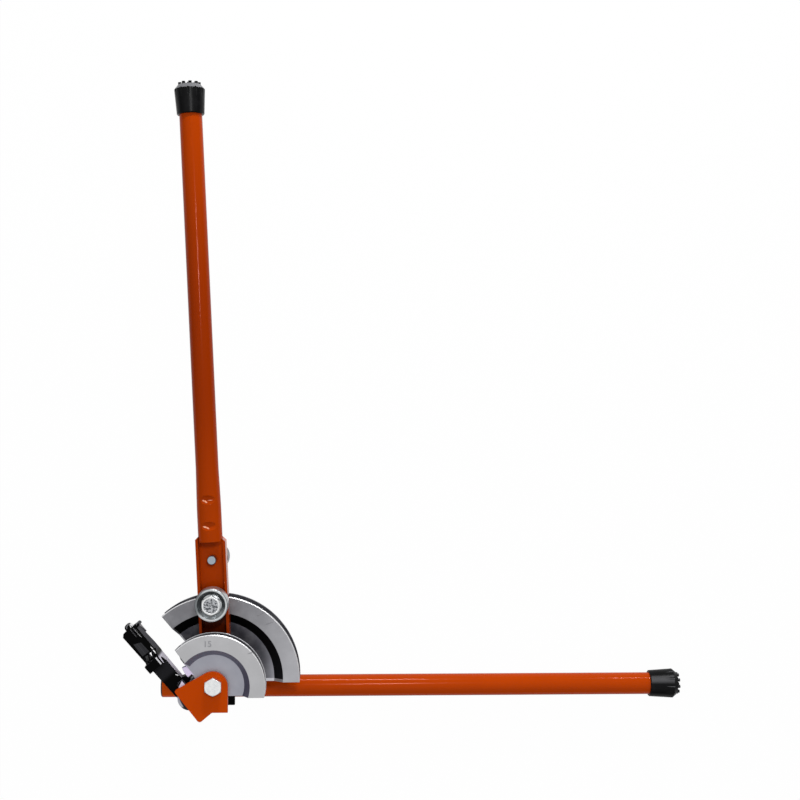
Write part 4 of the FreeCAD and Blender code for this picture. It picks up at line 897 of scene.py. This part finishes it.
def hook_pad():
    """Raised pad on the hook arm, sunk in a little and standing a little proud."""
    shape = slab(PAD_CORNERS, HOOK_TOP - PAD_SUNK, HOOK_TOP + PAD_PROUD)
    new_piece("hook_pad", shape, lit_pad_iron(), "hook")


LEDGE_CORNERS = [(37.2, 14.4), (36, 10.9), (33.6, 8.4), (24.9, 8.4), (24.9, 15.8), (29.7, 16.1)]
LEDGE_LEVELS = (104, 110.9)


def former_15_ledge():
    """Ledge on the small former, where the hook arm's ear comes to rest."""
    shape = slab(LEDGE_CORNERS, *LEDGE_LEVELS)
    new_piece("former_15_ledge", shape, own_finishes["former_15"], "frame")


# Patches in the folds' painted highlight are real size
FOLD_GLINT_PATCHES = 2
FOLD_GLINT_PATCHY = (0.35, 0.65)


def glinting_powder_coat():
    """Powder coat on the sharp folds of the crimps, painted pale as their highlight."""
    material, tree, shader = new_material("glinting_powder_coat")
    place = add(tree, "TexCoord").outputs["Object"]
    glint_patches = add(tree, "TexNoise", {"Vector": place, "Scale": per_feature(FOLD_GLINT_PATCHES), "Detail": 2})
    glint_patchy = zone(tree, place, (glint_patches.outputs["Fac"], *FOLD_GLINT_PATCHY))
    # Painted highlight: pale orange and paler patches on the folds
    set_surface(tree, shader, Base_Color=coated(tree, "#E88050", (glint_patchy, "#FFC0A0")),
                Roughness=0.2, Specular_IOR_Level=0.3)
    return material


# Folds that the crimping tool left in the lever tube, as widths and corners
FOLD_HEIGHT = 0.3
CRIMP_FOLDS = [
    (2.1, [(-13.8, 203.9, 106), (-10.7, 202.7, 106.2), (-8.4, 201.2, 106.9)]),
    (0.8, [(-8, 203.8, 106), (-2.6, 204, 106)]),
    (2.1, [(-12.8, 174.7, 106), (-9, 173.7, 106.2), (-6, 172.2, 106.8)]),
]


def lever_tube_folds():
    """Sharp folds across the front of the lever tube, at its two crimps."""
    shape = bmesh.new()
    for width, corners in CRIMP_FOLDS:
        add_ridge(shape, corners, width, FOLD_HEIGHT)
    new_piece("lever_tube_folds", shape, glinting_powder_coat(), "lever")


# Bracket welds: beads under the lower tube that dip between ripples and thin out at both ends
WELD_RADIUS = 1.5
WELD_RIPPLE = 1.5
WELD_SIDES = 10
WELD_STEPS_PER_RIPPLE = 5
WELD_DIP = 0.22
WELD_END = 0.35
WELD_END_SLOPE = 0.16
WELD_SUNK = 0.3
WELD_ABOVE_BRACKET = 0.2
WELD_INSET = 3


def bracket_weld(word, start, end):
    """Fillet weld from start to end, in metres: a bead of overlapping ripples, painted over."""
    length = (end - start).length
    count = round(length / (WELD_RIPPLE * MM / WELD_STEPS_PER_RIPPLE))
    along = (end - start).normalized()
    side = along.orthogonal().normalized()
    other = along.cross(side)
    shape = bmesh.new()
    rings = []
    for step in range(count + 1):
        ripples = length * step / count / (WELD_RIPPLE * MM)
        swell = 1 - WELD_DIP * (1 - abs(math.sin(math.pi * ripples)))
        taper = min(1, WELD_END + min(step, count - step) * WELD_END_SLOPE)
        reach = WELD_RADIUS * MM * swell * taper
        centre = start.lerp(end, step / count)
        turns = [2 * math.pi * corner / WELD_SIDES for corner in range(WELD_SIDES)]
        rings.append([
            shape.verts.new(centre + reach * (math.cos(turn) * side + math.sin(turn) * other))
            for turn in turns
        ])
    add_skin(shape, rings)
    for face in shape.faces:
        face.smooth = True
    new_piece("bracket_weld_" + word, shape, finishes["black_iron"], "frame")


def bracket_welds():
    """Welds along both cheeks of the bracket, under the lower tube."""
    tube_low, tube_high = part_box("lower_handle_tube")
    low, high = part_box("handle_bracket")
    middle = (tube_low.y + tube_high.y) / 2
    radius = (tube_high.y - tube_low.y) / 2
    seam_z = low.z + WELD_ABOVE_BRACKET * MM
    for word, sign in (("near", -1), ("far", 1)):
        seam_y = middle + sign * (radius - WELD_SUNK * MM)
        bracket_weld(word, Vector((low.x + WELD_INSET * MM, seam_y, seam_z)),
                     Vector((high.x - WELD_INSET * MM, seam_y, seam_z)))


# M12 thread: pitch and depth, its root radius, and each turn's corners as a share of the pitch up
# the bolt and a distance out from the root
THREAD_PITCH = 1.75
THREAD_DEPTH = 0.35
THREAD_ROOT = 6
THREAD_STEPS_PER_TURN = 40
THREAD_FADE_STEPS = 8
THREAD_FLANK = 0.42
THREAD_SUNK = 0.3
THREAD_ABOVE_END = 0.8
THREAD_INTO_NUT = 1


def pivot_bolt_thread():
    """Rolled thread on the pivot bolt, from near its end into the nut, as a helical ridge."""
    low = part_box("pivot_bolt")[0].z + THREAD_ABOVE_END * MM
    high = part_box("pivot_nut")[0].z + THREAD_INTO_NUT * MM
    pitch = THREAD_PITCH * MM
    count = int((high - low) / pitch * THREAD_STEPS_PER_TURN)
    shape = bmesh.new()
    rows = []
    for step in range(count + 1):
        turn = 2 * math.pi * step / THREAD_STEPS_PER_TURN
        level = low + pitch * step / THREAD_STEPS_PER_TURN
        fade = min(1, step / THREAD_FADE_STEPS, (count - step) / THREAD_FADE_STEPS)
        row = []
        for rise, out in ((-THREAD_FLANK, -THREAD_SUNK), (0, THREAD_DEPTH * fade),
                          (THREAD_FLANK, -THREAD_SUNK)):
            reach = (THREAD_ROOT + out) * MM
            row.append(shape.verts.new((
                reach * math.cos(turn), reach * math.sin(turn), level + rise * pitch,
            )))
        rows.append(row)
    add_skin(shape, rows)
    new_piece("pivot_bolt_thread", shape, finishes["zinc"], "frame")


# Studio floor: how bright the camera sees it, and how bright it is mirrored from the near side to
# the far side, between two places along Y in metres
FLOOR_SEEN = 0.985
FLOOR_MIRRORED = (0.1, 0.9)
FLOOR_MIRRORED_METRES = (-0.25, 0.5)
FLOOR_REACH_METRES = 8
FLOOR_BELOW = 0.2


def studio_floor():
    """Plain pale floor that shows near white and still takes the tool's shadow."""
    material = bpy.data.materials.new("pale_studio_floor")
    tree = emptied(material)
    paper = add(tree, "BsdfDiffuse", {"Color": linear("#DCDCDC")}).outputs["BSDF"]
    glow = add(tree, "Emission", {"Color": linear("#FFFFFF"), "Strength": 1})
    seen = add(tree, "LightPath").outputs
    in_view = add(tree, "Math", {0: seen["Is Camera Ray"], 1: FLOOR_SEEN},
                  operation="MULTIPLY").outputs["Value"]
    place = add(tree, "TexCoord").outputs["Object"]
    lit_side = add(tree, "MapRange", {
        "Value": add(tree, "SeparateXYZ", {"Vector": place}).outputs["Y"],
        "From Min": FLOOR_MIRRORED_METRES[0], "From Max": FLOOR_MIRRORED_METRES[1],
        "To Min": FLOOR_MIRRORED[0], "To Max": FLOOR_MIRRORED[1],
    }, interpolation_type="SMOOTHSTEP").outputs["Result"]
    glowing = add(tree, "Math", {0: seen["Is Glossy Ray"], 1: lit_side, 2: in_view},
                  operation="MULTIPLY_ADD").outputs["Value"]
    blend = add(tree, "MixShader", {0: glowing, 1: paper, 2: glow.outputs["Emission"]})
    add(tree, "OutputMaterial", {"Surface": blend.outputs["Shader"]})
    mesh = bpy.data.meshes.new("studio_floor")
    reach = FLOOR_REACH_METRES
    level = cad_box[0].z - FLOOR_BELOW * MM
    corners = [(x, y, level) for x, y in ((-reach, -reach), (reach, -reach), (reach, reach),
                                          (-reach, reach))]
    mesh.from_pydata(corners, [], [(0, 1, 2, 3)])
    floor = bpy.data.objects.new("studio_floor", mesh)
    bpy.context.scene.collection.objects.link(floor)
    dress(floor, material)


# Surroundings: how bright they are as light, and mirrored as walls from the near side to the far
# side and as a ceiling; the last two are heights of a direction where walls end and ceiling starts
SURROUND_LIGHT = 0.5
WALL_MIRRORED = (0.15, 0.45)
WALL_TURN = (-0.5, 0.8)
CEILING_MIRRORED = 1
CEILING_RISE = (0.1, 0.95)


def studio_world():
    """White surroundings; mirrored in the tool they are white overhead and on the +Y side."""
    world = bpy.data.worlds.new("studio")
    tree = emptied(world)
    seen = add(tree, "LightPath").outputs
    towards = add(tree, "SeparateXYZ", {
        "Vector": add(tree, "TexCoord").outputs["Generated"],
    }).outputs
    wall = add(tree, "MapRange", {
        "Value": towards["Y"], "From Min": WALL_TURN[0], "From Max": WALL_TURN[1],
        "To Min": WALL_MIRRORED[0], "To Max": WALL_MIRRORED[1],
    }, interpolation_type="SMOOTHSTEP").outputs["Result"]
    ceiling = add(tree, "MapRange", {
        "Value": towards["Z"], "From Min": CEILING_RISE[0], "From Max": CEILING_RISE[1],
        "To Min": wall, "To Max": CEILING_MIRRORED,
    }, interpolation_type="SMOOTHSTEP").outputs["Result"]
    mirrored = add(tree, "MapRange", {
        "Value": seen["Is Glossy Ray"], "To Min": SURROUND_LIGHT, "To Max": ceiling,
    }).outputs["Result"]
    strength = add(tree, "MapRange", {
        "Value": seen["Is Camera Ray"], "To Min": mirrored, "To Max": 1,
    }).outputs["Result"]
    background = add(tree, "Background", {"Color": linear("#FFFFFF"), "Strength": strength})
    add(tree, "OutputWorld", {"Surface": background.outputs["Background"]})
    bpy.context.scene.world = world


# Soft strip lamps, whose reflections are the streaks on both tubes; power is in watts
STRIP_LAMPS = {
    "strip_along_lever": {
        "place": (255, 664, 1630), "target": (0, 300, 60), "width": 28, "length": 280,
        "power": 5.6,
    },
    "strip_along_handle": {
        "place": (190, 1465, 557), "target": (150, -20, 28), "width": 300, "length": 40,
        "power": 9,
    },
    "strip_by_the_foot": {
        "place": (845, 1483, 575), "target": (490, -15, 28), "width": 90, "length": 40,
        "power": 3.2,
    },
}


def strip_lamp(name, place, target, width, length, power):
    """Rectangular lamp that faces a target and isn't seen itself."""
    lamp = bpy.data.lights.new(name, "AREA")
    lamp.shape = "RECTANGLE"
    lamp.size = width * MM
    lamp.size_y = length * MM
    lamp.energy = power
    holder = bpy.data.objects.new(name, lamp)
    holder.location = Vector(place) * MM
    aim = (Vector(target) - Vector(place)).normalized()
    holder.rotation_mode = "QUATERNION"
    holder.rotation_quaternion = aim.to_track_quat("-Z", "Y")
    holder.visible_camera = False
    bpy.context.scene.collection.objects.link(holder)


# Camera, fitted to the photograph: its place, how far it leans to the right as the sideways share
# of its back direction, and how far it is rolled, in degrees
IMAGE_SIZE = 800
FOCAL_PIXELS = 1368
SENSOR_WIDTH = 36
CAMERA_PLACE = (132.7, 315.8, 1630)
CAMERA_LEAN = 0.0475
CAMERA_ROLL = 0.206


def photograph_camera():
    """Camera over the tool, as the photograph was taken."""
    data = bpy.data.cameras.new("camera")
    data.sensor_width = SENSOR_WIDTH
    data.lens = FOCAL_PIXELS / IMAGE_SIZE * SENSOR_WIDTH
    camera = bpy.data.objects.new("camera", data)
    back = Vector((-CAMERA_LEAN, 0, math.sqrt(1 - CAMERA_LEAN ** 2)))
    up = Matrix.Rotation(math.radians(CAMERA_ROLL), 3, back) @ Vector(ALONG_Y)
    right = up.cross(back)
    turned = Matrix((right, up, back)).transposed().to_4x4()
    camera.matrix_world = Matrix.Translation(Vector(CAMERA_PLACE) * MM) @ turned
    bpy.context.scene.collection.objects.link(camera)
    bpy.context.scene.camera = camera


# Pieces added to the CAD ones
former_marks("15")
former_marks("22")
hook_ribs()
hook_pad()
former_15_ledge()
lever_tube_folds()
bracket_welds()
pivot_bolt_thread()

# Studio
studio_floor()
studio_world()
for lamp_name, lamp_settings in STRIP_LAMPS.items():
    strip_lamp(lamp_name, **lamp_settings)
photograph_camera()
bpy.context.scene.view_settings.view_transform = "Standard"
